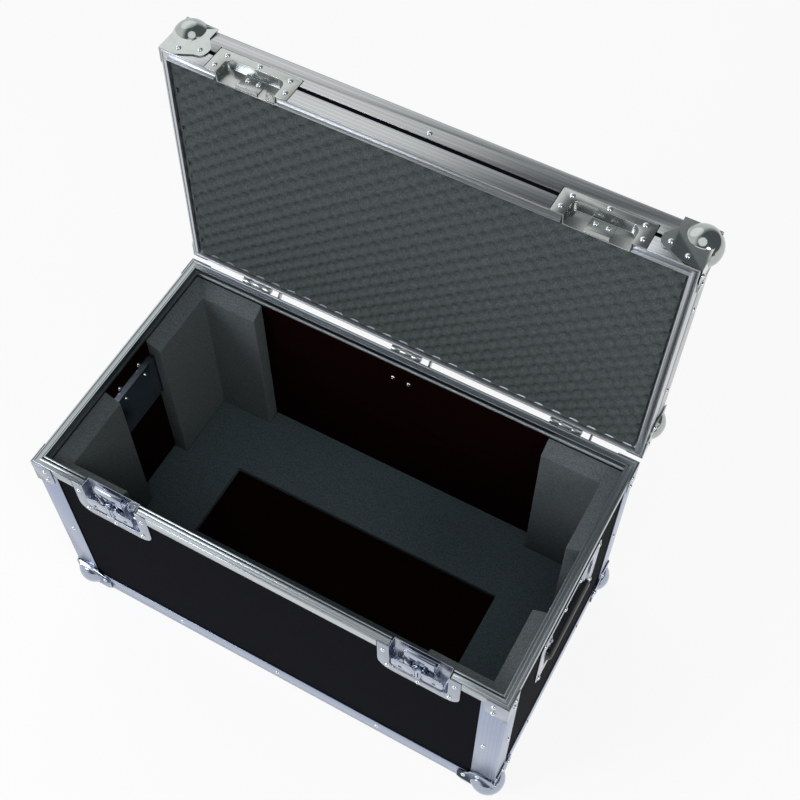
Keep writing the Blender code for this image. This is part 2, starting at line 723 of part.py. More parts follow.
def hook_mesh():
    # A folded plate with a lip along its top and a slot that clears the shaft through its travel.
    profile = [(HOOK_FRONT, -HOOK_DOWN), (HOOK_BACK, -HOOK_DOWN), (HOOK_BACK, HOOK_LIP_LOW - SHEET),
               (HOOK_BACK + HOOK_FOLD, HOOK_LIP_LOW), (HOOK_TIP, HOOK_LIP_LOW), (HOOK_TIP, HOOK_LIP_TOP),
               (HOOK_FRONT + SHEET, HOOK_LIP_TOP), (HOOK_FRONT, HOOK_LIP_TOP - SHEET)]
    plate = collection_link(bpy.data.objects.new(
        "hook", prism("hook", profile, "YZ", -HOOK_WIDTH / 2, HOOK_WIDTH / 2)))
    slot = arc((0.0, -KNOB_DROP), SLOT_HALF, 180, 360, 6)
    slot += arc((0.0, -KNOB_DROP + HOOK_TRAVEL_DOWN), SLOT_HALF, 0, 180, 6)
    slot_cut = cutter("hook_slot", prism("hook_slot", slot, "XZ", 0.0, TRAY_DEPTH), None)
    boolean(plate, slot_cut)
    return baked(plate, [slot_cut])


def knob_mesh():
    # A round boss on its shaft, with a rib and two ears in front that hold the wings' pins.
    bm = bmesh.new()
    profile = [(0, -BRIDGE_FACE + GAP), (SHAFT_RADIUS, -BRIDGE_FACE + GAP), (SHAFT_RADIUS, -BOSS_BACK),
               (BOSS_RADIUS, -BOSS_BACK), (BOSS_RADIUS, BOSS_FRONT), (0, BOSS_FRONT)]
    lathe(bm, profile, (0.0, 0.0, 0.0), (0, -1, 0), 16)
    boss = collection_link(bpy.data.objects.new("knob", to_mesh("knob", bm)))
    top = EAR_LOW + EAR
    side = [(EAR_HALF, EAR_LOW), (RIB_HALF, EAR_LOW), (RIB_HALF, -EAR_LOW), (EAR_HALF, -EAR_LOW)]
    ears = [(EAR_HALF, top)] + side + [(EAR_HALF, -top), (-EAR_HALF, -top)]
    ears += [(-a, -b) for a, b in side] + [(-EAR_HALF, top)]
    front = -WING_PIN_DEPTH - WING_BARREL
    rib = cutter("knob_ears", prism("knob_ears", ears, "XZ", front, 0.0), None)
    boolean(boss, rib, "UNION")
    return baked(boss, [rib])


def wing_mesh():
    # The right wing: a pin barrel on the origin and a plate reaching along +X, its back at the boss.
    reach = WING_REACH - WING_PIN_OFFSET
    neck = WING_UP - 2 * GAP
    outline = [(0.0, -neck), (WING_NECK, -neck), (WING_NECK + GAP, -WING_DOWN)]
    outline += arc((reach - WING_ROUND, -WING_DOWN + WING_ROUND), WING_ROUND, 270, 360, 3)
    outline += arc((reach - WING_ROUND, WING_UP - WING_ROUND), WING_ROUND, 0, 90, 3)
    outline += [(WING_NECK + GAP, WING_UP), (WING_NECK, neck), (0.0, neck)]
    back = WING_BARREL
    plate = collection_link(bpy.data.objects.new(
        "wing", prism("wing", outline, "XZ", back - WING_SHEET, back)))
    bm = bmesh.new()
    lathe(bm, [(0, -WING_UP), (WING_BARREL, -WING_UP), (WING_BARREL, WING_UP), (0, WING_UP)],
          (0.0, 0.0, 0.0), (0, 0, 1), 10)
    barrel = cutter("wing_barrel", to_mesh("wing_barrel", bm), None)
    bm = bmesh.new()
    lathe(bm, [(0, -WING_REACH), (WING_HOLE, -WING_REACH), (WING_HOLE, WING_REACH), (0, WING_REACH)],
          (WING_HOLE_OFFSET - WING_PIN_OFFSET, 0.0, -WING_HOLE * 2), (0, 1, 0), 8)
    hole = cutter("wing_hole", to_mesh("wing_hole", bm), None)
    boolean(plate, barrel, "UNION")
    boolean(plate, hole)
    return baked(plate, [barrel, hole])


def bridge_mesh():
    # A channel welded to the tray's floor whose cheeks guide the hook.
    cheek_front = BOSS_BACK
    outer = CHEEK_INNER + METAL
    back = BRIDGE_BACK
    outline = [(-outer, cheek_front), (-CHEEK_INNER, cheek_front), (-CHEEK_INNER, BRIDGE_FACE),
               (CHEEK_INNER, BRIDGE_FACE), (CHEEK_INNER, cheek_front), (outer, cheek_front),
               (outer, back), (-outer, back)]
    return prism("bridge", outline, "XY", -BRIDGE_DROP, -BRIDGE_TOP)


def keeper_mesh():
    # A plate welded to the lid tray's floor, with a lip for the hook.
    back = BRIDGE_BACK
    profile = [(KEEPER_TIP, KEEPER_LIP_LOW), (back, KEEPER_LIP_LOW), (back, KEEPER_RISE),
               (BRIDGE_FACE, KEEPER_RISE), (BRIDGE_FACE, KEEPER_LIP_LOW + 2 * SHEET),
               (BRIDGE_FACE - SHEET, KEEPER_LIP_LOW + SHEET), (KEEPER_TIP, KEEPER_LIP_LOW + SHEET)]
    return prism("keeper", profile, "YZ", -KEEPER_WIDTH / 2, KEEPER_WIDTH / 2)


def fitted_dish(name, shell, fittings):
    # A pressed tray with its welded fittings as one piece.
    dish = collection_link(bpy.data.objects.new(name, shell))
    helpers = [cutter("fitting", fitting, None) for fitting in fittings]
    for helper in helpers:
        boolean(dish, helper, "UNION")
    return baked(dish, helpers)


hook_shape = hook_mesh()
knob_shape = knob_mesh()
wing_shape = wing_mesh()
left_wing_shape = placed(wing_shape, Matrix.Diagonal((-1.0, 1.0, 1.0, 1.0)))
for name, way in (("left", -1), ("right", 1)):
    frame = empty(name + "_latch_frame", base_sides["front"], (way * LATCH_X, 0.0, BASE_HEIGHT))
    lid_place = empty(name + "_lid_latch_frame", lid_front, (way * LATCH_X, 0.0, 0.0))
    base_fittings = [bridge_mesh()]
    lid_fittings = [keeper_mesh()]
    if name == "left":
        base_fittings.append(padlock_eye(-1))
        lid_fittings.append(padlock_eye(1))
    dish = fitted_dish("dish", latch_tray("dish", PLATE_DROP, TRAY_DROP, -1), base_fittings)
    lid_dish = fitted_dish("lid_dish", latch_tray("lid_dish", LID_PLATE_RISE, LID_TRAY_RISE, 1), lid_fittings)
    solid(name + "_latch_dish", dish, zinc_plate, frame)
    solid(name + "_lid_latch_dish", lid_dish, zinc_plate, lid_place)
    solid(name + "_latch_hook", hook_shape.copy(), zinc_plate, frame)
    knob_axis = empty(name + "_knob_axis", frame, (0.0, 0.0, -KNOB_DROP))
    solid(name + "_latch_knob", knob_shape.copy(), zinc_plate, knob_axis, smooth=True)
    solid(name + "_latch_left_wing", left_wing_shape.copy(), zinc_plate, knob_axis,
          (-WING_PIN_OFFSET, -WING_PIN_DEPTH, 0.0), smooth=True)
    solid(name + "_latch_right_wing", wing_shape.copy(), zinc_plate, knob_axis,
          (WING_PIN_OFFSET, -WING_PIN_DEPTH, 0.0), smooth=True)


# End handles: a dish, a bent rod bail in two eyes, and a moulded rubber grip
EYE_START = BAIL_SPREAD / 2 + ROD_RADIUS + 2 * GAP


def handle_dish_mesh():
    wide, tall = HANDLE_TRAY
    plate = rounded_rectangle(*HANDLE_PLATE, HANDLE_PLATE_ROUND)
    mouth = rounded_rectangle(wide, tall, HANDLE_TRAY_ROUND)
    inner = rounded_rectangle(wide - 2 * HANDLE_DRAFT, tall - 2 * HANDLE_DRAFT,
                              HANDLE_TRAY_ROUND - HANDLE_DRAFT)
    outer = rounded_rectangle(wide + 2 * METAL, tall + 2 * METAL, HANDLE_TRAY_ROUND + METAL)
    outer_floor = rounded_rectangle(wide + 2 * METAL - 2 * HANDLE_DRAFT, tall + 2 * METAL - 2 * HANDLE_DRAFT,
                                    HANDLE_TRAY_ROUND + METAL - HANDLE_DRAFT)
    dish = collection_link(bpy.data.objects.new(
        "handle_dish", tray("handle_dish", plate, mouth, inner, outer, outer_floor, HANDLE_DEPTH, True)))
    helpers = []
    back = HANDLE_DEPTH + METAL / 2
    pivot = (BAIL_PIVOT_DEPTH, BAIL_PIVOT_RISE)
    for way in (-1, 1):
        outline = arc(pivot, EYE_RADIUS, 90, 270, 6)
        outline += [(back, BAIL_PIVOT_RISE - EYE_RADIUS), (back, BAIL_PIVOT_RISE + EYE_RADIUS)]
        ends = sorted((way * EYE_START, way * (EYE_START + EYE_SHEET)))
        eye = cutter("eye", prism("eye", outline, "YZ", *ends), None)
        bm = bmesh.new()
        lathe(bm, [(0, 0), (ROD_RADIUS + GAP, 0), (ROD_RADIUS + GAP, 2 * EYE_RADIUS), (0, 2 * EYE_RADIUS)],
              (way * (EYE_START - METAL), *pivot), (way, 0, 0), 12)
        bore = cutter("bore", to_mesh("bore", bm), None)
        boolean(eye, bore)
        boolean(dish, eye, "UNION")
        helpers += [eye, bore]
    return baked(dish, helpers)


def bail_points():
    half = BAIL_SPREAD / 2
    end = EYE_START + EYE_SHEET + METAL
    low = -BAIL_DROP
    points = [(-end, 0.0)]
    points += arc((-half - ROD_RADIUS / 2, -ROD_RADIUS / 2), ROD_RADIUS / 2, 90, 0, 3)
    points += arc((-half + BAIL_BEND, low + BAIL_BEND), BAIL_BEND, 180, 270, 4)
    points += [(-x, z) for x, z in reversed(points)]
    return points


def rod(name, points, radius):
    curve = bpy.data.curves.new(name, "CURVE")
    curve.dimensions = "3D"
    curve.bevel_depth = radius
    curve.bevel_resolution = 2
    curve.use_fill_caps = True
    spline = curve.splines.new("POLY")
    spline.points.add(len(points) - 1)
    for point, (x, z) in zip(spline.points, points):
        point.co = (x, 0.0, z, 1.0)
    return curve


def grip_mesh():
    bm = bmesh.new()
    end = GRIP_LENGTH / 2
    turn_in = GRIP_RADIUS / 4
    profile = [(0, -end), (GRIP_RADIUS - turn_in, -end), (GRIP_RADIUS, -end + turn_in),
               (GRIP_RADIUS, end - turn_in), (GRIP_RADIUS - turn_in, end), (0, end)]
    lathe(bm, profile, (0.0, 0.0, -BAIL_DROP), (1, 0, 0), 14)
    sleeve = collection_link(bpy.data.objects.new("grip", to_mesh("grip", bm)))
    core = cutter("grip_core", rod("grip_core", bail_points(), ROD_RADIUS + GAP), None)
    core_mesh = bpy.data.meshes.new_from_object(core.evaluated_get(bpy.context.evaluated_depsgraph_get()))
    bpy.data.objects.remove(core, do_unlink=True)
    core = cutter("grip_core", core_mesh, None)
    boolean(sleeve, core)
    return baked(sleeve, [core])


dish_shape = handle_dish_mesh()
grip_shape = grip_mesh()
for side in ("left", "right"):
    handle_frame = empty(side + "_handle_frame", base_sides[side], (0.0, 0.0, HANDLE_Z))
    solid(side + "_handle_dish", dish_shape.copy(), zinc_plate, handle_frame, smooth=True)
    pivot_frame = empty(side + "_handle_pivot", handle_frame, (0.0, BAIL_PIVOT_DEPTH, BAIL_PIVOT_RISE))
    bail = bpy.data.objects.new(side + "_handle_bail", rod(side + "_handle_bail", bail_points(), ROD_RADIUS))
    bail.parent = pivot_frame
    collection_link(bail)
    zinc_plate(bail)
    solid(side + "_handle_grip", grip_shape.copy(), rubber, pivot_frame, smooth=True)


# Rolled hinges on the back, drawn about the pin with +Y towards the case
def hinge_leaf(name, way, spans):
    # One leaf with a strap to each knuckle.
    # The base leaf (way -1) holds the pin and the lid leaf turns on it.
    leaf_low = HINGE_OFFSET - GAP - LEAF
    leaf_high = HINGE_OFFSET - GAP
    outline = [(-LEAF_WIDTH / 2, way * LEAF_REACH), (-LEAF_WIDTH / 2, way * LEAF_START)]
    for start, end in spans:
        outline += [(start + GAP, way * LEAF_START), (start + GAP, 0.0)]
        outline += [(end - GAP, 0.0), (end - GAP, way * LEAF_START)]
    outline += [(LEAF_WIDTH / 2, way * LEAF_START), (LEAF_WIDTH / 2, way * LEAF_REACH)]
    plate = collection_link(bpy.data.objects.new(name, prism(name, outline, "XZ", leaf_low, leaf_high)))
    helpers = []
    for start, end in spans:
        curl = arc((0.0, 0.0), BARREL_RADIUS, 0, 330, 11)
        curl_piece = cutter("curl", prism("curl", curl, "YZ", start, end), None)
        boolean(plate, curl_piece, "UNION")
        helpers.append(curl_piece)
    pin_radius = PIN_RADIUS if way < 0 else PIN_RADIUS + GAP
    pin_half = BARREL_LENGTH / 2 + PIN_HEAD
    bm = bmesh.new()
    lathe(bm, [(0, -pin_half), (pin_radius, -pin_half), (pin_radius, pin_half), (0, pin_half)],
          (0.0, 0.0, 0.0), (1, 0, 0), 10)
    pin = cutter("pin", to_mesh("pin", bm), None)
    boolean(plate, pin, "UNION" if way < 0 else "DIFFERENCE")
    helpers.append(pin)
    if way < 0:
        middle = leaf_low + LEAF / 2
        stop = [(middle, -LEAF_REACH / 2), (middle, -LEAF_START - GAP), (0.0, LEAF_START / 3),
                (-STOP_REACH, LEAF_START / 3), (-STOP_REACH, -LEAF_START / 3)]
        ends = (-STOP_OFFSET - STOP_WIDTH / 2, -STOP_OFFSET + STOP_WIDTH / 2)
        stop_piece = cutter("stop", prism("stop", stop, "YZ", *ends), None)
        boolean(plate, stop_piece, "UNION")
        helpers.append(stop_piece)
    return baked(plate, helpers)


half_barrel = BARREL_LENGTH / 2
half_middle = MIDDLE_KNUCKLE / 2
outer_knuckles = ((-half_barrel, -half_middle - GAP), (half_middle + GAP, half_barrel))
base_leaf = hinge_leaf("base_leaf", -1, outer_knuckles)
lid_leaf = hinge_leaf("lid_leaf", 1, ((-half_middle, half_middle),))
for name, place in (("left", -HINGE_PITCH), ("middle", 0.0), ("right", HINGE_PITCH)):
    solid(name + "_hinge_base_leaf", base_leaf.copy(), zinc_plate, base_sides["back"],
          (-place, -HINGE_OFFSET, BASE_HEIGHT))
    solid(name + "_hinge_lid_leaf", lid_leaf.copy(), zinc_plate, hinge_axis, (place, 0.0, 0.0),
          (0.0, 0.0, math.pi))


# Foam. The corner pads stand on the floor board and the floor foam is cut round them.
FOAM_TOP = BOARD_TOP + GAP + FOAM_FRAME
PAD_INNER = LEG_FACE + PAD
pad_top = BASE_HEIGHT - PAD_TOP_DROP
pad_outline = [(LEG_FACE, BOARD_TOP + GAP), (PAD_INNER, BOARD_TOP + GAP),
               (PAD_INNER, pad_top - PAD_CHAMFER_DROP),
               (LEG_FACE, pad_top)]
latch_room = block("latch_room", (-CUT_HALF, CUT_HALF), (0.0, FOAM_CUT_DEPTH),
                   (-TRAY_DROP - METAL - 2 * GAP, METAL))
handle_room_size = (HANDLE_TRAY[0] / 2 + METAL + 2 * GAP, HANDLE_TRAY[1] / 2 + METAL + 2 * GAP)
handle_room = block("handle_room", (-handle_room_size[0], handle_room_size[0]),
                    (0.0, HANDLE_DEPTH + METAL + GAP), (-handle_room_size[1], handle_room_size[1]))


def corner_pad():
    # An L of foam drawn in from a corner along +X and +Y, its top edge chamfered.
    bm = bmesh.new()
    loops = [[bm.verts.new((PAD_SIDE_REACH, n, z)) for n, z in pad_outline],
             [bm.verts.new((n, n, z)) for n, z in pad_outline],
             [bm.verts.new((n, LEG_FACE + PAD_END_LENGTH, z)) for n, z in pad_outline]]
    count = len(pad_outline)
    for loop, beyond in zip(loops, loops[1:]):
        for index in range(count):
            after = (index + 1) % count
            bm.faces.new((loop[index], beyond[index], beyond[after], loop[after]))
    bm.faces.new(loops[0])
    bm.faces.new(list(reversed(loops[-1])))
    return to_mesh("corner_pad", bm)


def floor_foam_outline():
    # A rectangle with an L cut out of each corner for the pad there.
    around = PAD_INNER + GAP
    side_end = PAD_SIDE_REACH + GAP
    end_end = LEG_FACE + PAD_END_LENGTH + GAP
    corner = [(LEG_FACE, end_end), (around, end_end), (around, around), (side_end, around),
              (side_end, LEG_FACE)]
    points = []
    for way_x, way_y in ((-1, -1), (1, -1), (1, 1), (-1, 1)):
        turned = [(way_x * (WIDTH / 2 - u), way_y * (DEPTH / 2 - v)) for u, v in corner]
        points += turned if way_x == way_y else turned[::-1]
    return points


floor_foam = solid("floor_foam", prism("floor_foam", floor_foam_outline(), "XY", BOARD_TOP + GAP, FOAM_TOP),
                   foam, body_frame)
hole_half = (FOAM_HOLE[0] / 2, FOAM_HOLE[1] / 2)
boolean(floor_foam, cutter("foam_hole", block("foam_hole", (-hole_half[0], hole_half[0]),
                                              (-hole_half[1], hole_half[1]), (0.0, BASE_HEIGHT / 2)),
                           body_frame))

pad_shape = corner_pad()
for corner, (way_x, way_y) in CORNERS.items():
    end_side = "left" if way_x < 0 else "right"
    pads = solid("foam_pad_" + corner, placed(pad_shape, corner_matrix(corner, 0.0, 1)), foam, body_frame)
    boolean(pads, cutter(corner + "_handle_room", handle_room, base_sides[end_side], (0.0, 0.0, HANDLE_Z)))
    if way_y < 0:
        boolean(pads, cutter(corner + "_latch_room", latch_room, base_sides["front"],
                             (way_x * LATCH_X, 0.0, BASE_HEIGHT)))

FOAM_INSET = RIM_THICKNESS + GAP
lid_foam = solid("lid_foam", block("lid_foam", (-WIDTH / 2 + FOAM_INSET, WIDTH / 2 - FOAM_INSET),
                                   (-DEPTH / 2 + FOAM_INSET, DEPTH / 2 - FOAM_INSET),
                                   (0.0, LID_TOP_UNDER - GAP)), foam, lid_frame)
lid_room = block("lid_room", (-CUT_HALF, CUT_HALF), (0.0, FOAM_CUT_DEPTH), (-METAL, LID_CUT_HIGH))
for name, way in (("left", -1), ("right", 1)):
    boolean(lid_foam, cutter("lid_room_" + name, lid_room, lid_front, (way * LATCH_X, 0.0, 0.0)))
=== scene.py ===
import json
import math

import bpy
from mathutils import Matrix, Vector
from mathutils.bvhtree import BVHTree


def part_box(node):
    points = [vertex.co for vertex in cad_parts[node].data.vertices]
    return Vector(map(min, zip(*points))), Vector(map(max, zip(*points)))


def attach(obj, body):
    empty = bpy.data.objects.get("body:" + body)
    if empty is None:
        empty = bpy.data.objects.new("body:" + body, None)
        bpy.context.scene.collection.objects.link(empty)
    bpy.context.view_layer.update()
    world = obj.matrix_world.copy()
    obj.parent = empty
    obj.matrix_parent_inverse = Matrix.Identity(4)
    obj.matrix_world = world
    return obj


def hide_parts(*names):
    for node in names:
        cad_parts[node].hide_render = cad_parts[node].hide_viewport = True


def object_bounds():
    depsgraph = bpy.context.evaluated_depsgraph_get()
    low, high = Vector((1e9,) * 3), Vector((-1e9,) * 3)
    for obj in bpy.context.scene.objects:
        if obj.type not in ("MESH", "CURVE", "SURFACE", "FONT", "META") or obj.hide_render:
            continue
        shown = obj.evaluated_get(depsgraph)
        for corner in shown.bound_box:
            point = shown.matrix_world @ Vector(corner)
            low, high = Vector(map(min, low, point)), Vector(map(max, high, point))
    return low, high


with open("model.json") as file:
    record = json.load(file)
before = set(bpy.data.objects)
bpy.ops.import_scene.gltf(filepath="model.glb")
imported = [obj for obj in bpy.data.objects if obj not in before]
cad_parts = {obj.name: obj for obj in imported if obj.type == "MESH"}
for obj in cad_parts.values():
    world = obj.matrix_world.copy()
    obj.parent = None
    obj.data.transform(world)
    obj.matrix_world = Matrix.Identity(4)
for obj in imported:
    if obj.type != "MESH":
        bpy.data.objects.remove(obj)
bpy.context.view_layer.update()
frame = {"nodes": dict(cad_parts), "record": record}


# The camera. It looks down at the open case from the front and right, as the photograph does.
# Its place, angles and lens were solved from the edges of the box in the photograph.
CAMERA_PLACE = Vector((0.4477, -0.6512, 1.7107))
CAMERA_TURN = math.radians(-29.22)
CAMERA_DOWN = math.radians(58.06)
CAMERA_ROLL = math.radians(-0.28)
forward = Vector((math.sin(CAMERA_TURN) * math.cos(CAMERA_DOWN),
                  math.cos(CAMERA_TURN) * math.cos(CAMERA_DOWN),
                  -math.sin(CAMERA_DOWN)))
right = forward.cross(Vector((0.0, 0.0, 1.0))).normalized()
up = right.cross(forward)
level = Matrix((right, up, -forward)).transposed().to_4x4()
lens = bpy.data.cameras.new("camera")
lens.lens = 59.83
lens.sensor_width = 36.0
lens.shift_x = 0.006
lens.shift_y = 0.005
camera = bpy.data.objects.new("camera", lens)
bpy.context.scene.collection.objects.link(camera)
camera.matrix_world = Matrix.Translation(CAMERA_PLACE) @ level @ Matrix.Rotation(CAMERA_ROLL, 4, "Z")
bpy.context.scene.camera = camera
bpy.context.scene.view_settings.view_transform = "Standard"


# The stage: a plain floor of matt white paint that runs out of sight, under a soft pale sky.
# The camera and the gloss of the metal see most of the floor as plain white; the rest of it
# is paint, which keeps the shadow of the case.
def colour(code):
    """The linear colour of an sRGB hex code, by the standard curve."""
    linear = []
    for start in (1, 3, 5):
        value = int(code[start:start + 2], 16) / 255.0
        linear.append(value / 12.92 if value <= 0.04045 else ((value + 0.055) / 1.055) ** 2.4)
    return (*linear, 1.0)


def node(tree, kind, inputs=None, **settings):
    """Adds a node; inputs are numbers, colours or the sockets that feed it."""
    made = tree.nodes.new(kind)
    for name, value in settings.items():
        setattr(made, name, value)
    for name, value in (inputs or {}).items():
        if isinstance(value, bpy.types.NodeSocket):
            tree.links.new(value, made.inputs[name])
        else:
            made.inputs[name].default_value = value
    return made


def new_material(name):
    """An empty material, its tree and its output."""
    material = bpy.data.materials.new(name)
    material.use_nodes = True
    tree = material.node_tree
    tree.nodes.clear()
    return material, tree, node(tree, "ShaderNodeOutputMaterial")


FLOOR_SIZE = 60.0
WHITE_SHARE = 0.88
case_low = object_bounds()[0]
bpy.ops.object.select_all(action="DESELECT")
bpy.ops.mesh.primitive_plane_add(size=FLOOR_SIZE, location=(0.0, 0.0, case_low.z))
floor = bpy.context.object
floor.name = "studio_floor"
floor_paint, tree, output = new_material("matt_white_floor")
matt = node(tree, "ShaderNodeBsdfDiffuse", {"Color": colour("#FAFAFB")})
white = node(tree, "ShaderNodeEmission", {"Color": colour("#FFFFFF"), "Strength": 1.0})
ray = node(tree, "ShaderNodeLightPath")
seen = node(tree, "ShaderNodeMath", {0: ray.outputs["Is Camera Ray"], 1: ray.outputs["Is Glossy Ray"]},
            operation="ADD")
seen = node(tree, "ShaderNodeMath", {0: seen.outputs[0], 1: ray.outputs["Is Transmission Ray"]},
            operation="ADD", use_clamp=True)
share = node(tree, "ShaderNodeMath", {0: seen.outputs[0], 1: WHITE_SHARE}, operation="MULTIPLY")
blend = node(tree, "ShaderNodeMixShader", {0: share.outputs[0], 1: matt.outputs[0],
                                           2: white.outputs[0]})
tree.links.new(blend.outputs[0], output.inputs["Surface"])
floor.data.materials.append(floor_paint)

# The sky lights the case white from the horizon and the left, and greyer from overhead and the
# right, as a studio's walls and ceiling do. Behind the case, the camera sees it plain white.
SKY_WHITE_WAY = Vector((-0.85, 0.15, -0.50)).normalized()
GREY_BELOW = -0.26
WHITE_ABOVE = 0.14
world = bpy.data.worlds.new("studio_sky")
world.use_nodes = True
bpy.context.scene.world = world
tree = world.node_tree
tree.nodes.clear()
output = node(tree, "ShaderNodeOutputWorld")
way = node(tree, "ShaderNodeTexCoord")
towards = node(tree, "ShaderNodeVectorMath", {0: way.outputs["Generated"], 1: SKY_WHITE_WAY},
               operation="DOT_PRODUCT")
shade = node(tree, "ShaderNodeMapRange", {"Value": towards.outputs["Value"], "From Min": GREY_BELOW,
                                          "From Max": WHITE_ABOVE})
tones = node(tree, "ShaderNodeMix", {"Factor": shade.outputs["Result"], "A": colour("#666A6E"),
                                     "B": colour("#F6F8FA")}, data_type="RGBA")
sky = node(tree, "ShaderNodeBackground", {"Color": tones.outputs["Result"], "Strength": 1.0})
backdrop = node(tree, "ShaderNodeBackground", {"Color": colour("#FFFFFF"), "Strength": 1.0})
ray = node(tree, "ShaderNodeLightPath")
blend = node(tree, "ShaderNodeMixShader", {0: ray.outputs["Is Camera Ray"], 1: sky.outputs[0],
                                           2: backdrop.outputs[0]})
tree.links.new(blend.outputs[0], output.inputs["Surface"])

# The lamps: four round softboxes, each given by its place, width, power and tint. The front one
# stands where the photograph's main light does, low at the front left. The sky does the rest.
LAMPS_AIM = Vector((0.0, 0.0, 0.25))
SOFTBOXES = {
    "back_softbox": (Vector((-1.5, 1.3, 2.2)), 2.6, 8.0, "#FFFCF6"),
    "front_softbox": (Vector((-1.3, -1.8, 1.4)), 0.9, 21.0, "#F2F5FF"),
    "right_softbox": (Vector((1.9, -1.1, 1.8)), 1.0, 18.0, "#FFFFFF"),
    "top_softbox": (Vector((0.3, -0.5, 2.5)), 1.6, 7.0, "#FFFFFF"),
}
for name, (place, width, power, tint) in SOFTBOXES.items():
    lamp = bpy.data.lights.new(name, "AREA")
    lamp.shape = "DISK"
    lamp.size = width
    lamp.energy = power
    lamp.color = colour(tint)[:3]
    softbox = bpy.data.objects.new(name, lamp)
    softbox.location = place
    softbox.rotation_euler = (LAMPS_AIM - place).to_track_quat("-Z", "Y").to_euler()
    softbox.visible_camera = False
    bpy.context.scene.collection.objects.link(softbox)


# The panels. Each is birch plywood with a black laminate bonded to its outer face, dropped into
# the edging. The laminate is a thin textured plastic sheet; inside, the plywood is stained dark.
edging_low, edging_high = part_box("bottom_angles")
HALF_WIDTH = edging_high.x
HALF_DEPTH = edging_high.y
MATING_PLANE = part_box("right_latch_dish")[1].z
BASE_HEIGHT = MATING_PLANE - edging_low.z
MATING_GAP = 0.0003
LAMINATE_DEPTH = 0.0045
PEBBLE_SIZE = 1.5
MOTTLE_SIZE = 5.0
GRAIN_PER_METRE = (12.0, 330.0, 330.0)
joint = next(item for item in frame["record"]["behaviour"]["joints"] if item["name"] == "lid_hinge")
hinge_pin = Vector(joint["pos_m"])
lid_turn = -math.radians(joint["range_deg"][1])
base_place = Matrix.Translation((0.0, 0.0, edging_low.z))
lid_place = (Matrix.Translation(hinge_pin) @ Matrix.Rotation(lid_turn, 4, "X")
             @ Matrix.Translation((0.0, -hinge_pin.y, MATING_GAP)))


def reach_of(name, part):
    """The lowest and highest corners of a node, in the frame of the base or the lid."""
    points = [part.inverted() @ vertex.co for vertex in frame["nodes"][name].data.vertices]
    return Vector(map(min, zip(*points))), Vector(map(max, zip(*points)))


LID_HEIGHT = reach_of("lid_top_angles", lid_place)[1].z


def pattern_place(tree, size):
    """Object coordinates scaled so that one unit of a pattern is this many millimetres."""
    place = node(tree, "ShaderNodeTexCoord")
    return node(tree, "ShaderNodeVectorMath", {0: place.outputs["Object"], "Scale": 1000.0 / size},
                operation="SCALE").outputs["Vector"]


def part_axes(tree, part):
    """Object coordinates turned into the frame of the base or the lid, whole and split by axis."""
    back = part.inverted()
    place = node(tree, "ShaderNodeTexCoord")
    turned = node(tree, "ShaderNodeMapping", {
        "Vector": place.outputs["Object"], "Location": back.to_translation(),
        "Rotation": back.to_euler()})
    axes = node(tree, "ShaderNodeSeparateXYZ", {"Vector": turned.outputs["Vector"]})
    return turned.outputs["Vector"], axes


def inset(tree, axes):
    """How far a point lies in from the end faces and from the front and back faces."""
    across = node(tree, "ShaderNodeMath", {0: axes.outputs["X"]}, operation="ABSOLUTE")
    end = node(tree, "ShaderNodeMath", {0: HALF_WIDTH, 1: across.outputs[0]}, operation="SUBTRACT")
    along = node(tree, "ShaderNodeMath", {0: axes.outputs["Y"]}, operation="ABSOLUTE")
    face = node(tree, "ShaderNodeMath", {0: HALF_DEPTH, 1: along.outputs[0]}, operation="SUBTRACT")
    return end.outputs[0], face.outputs[0]


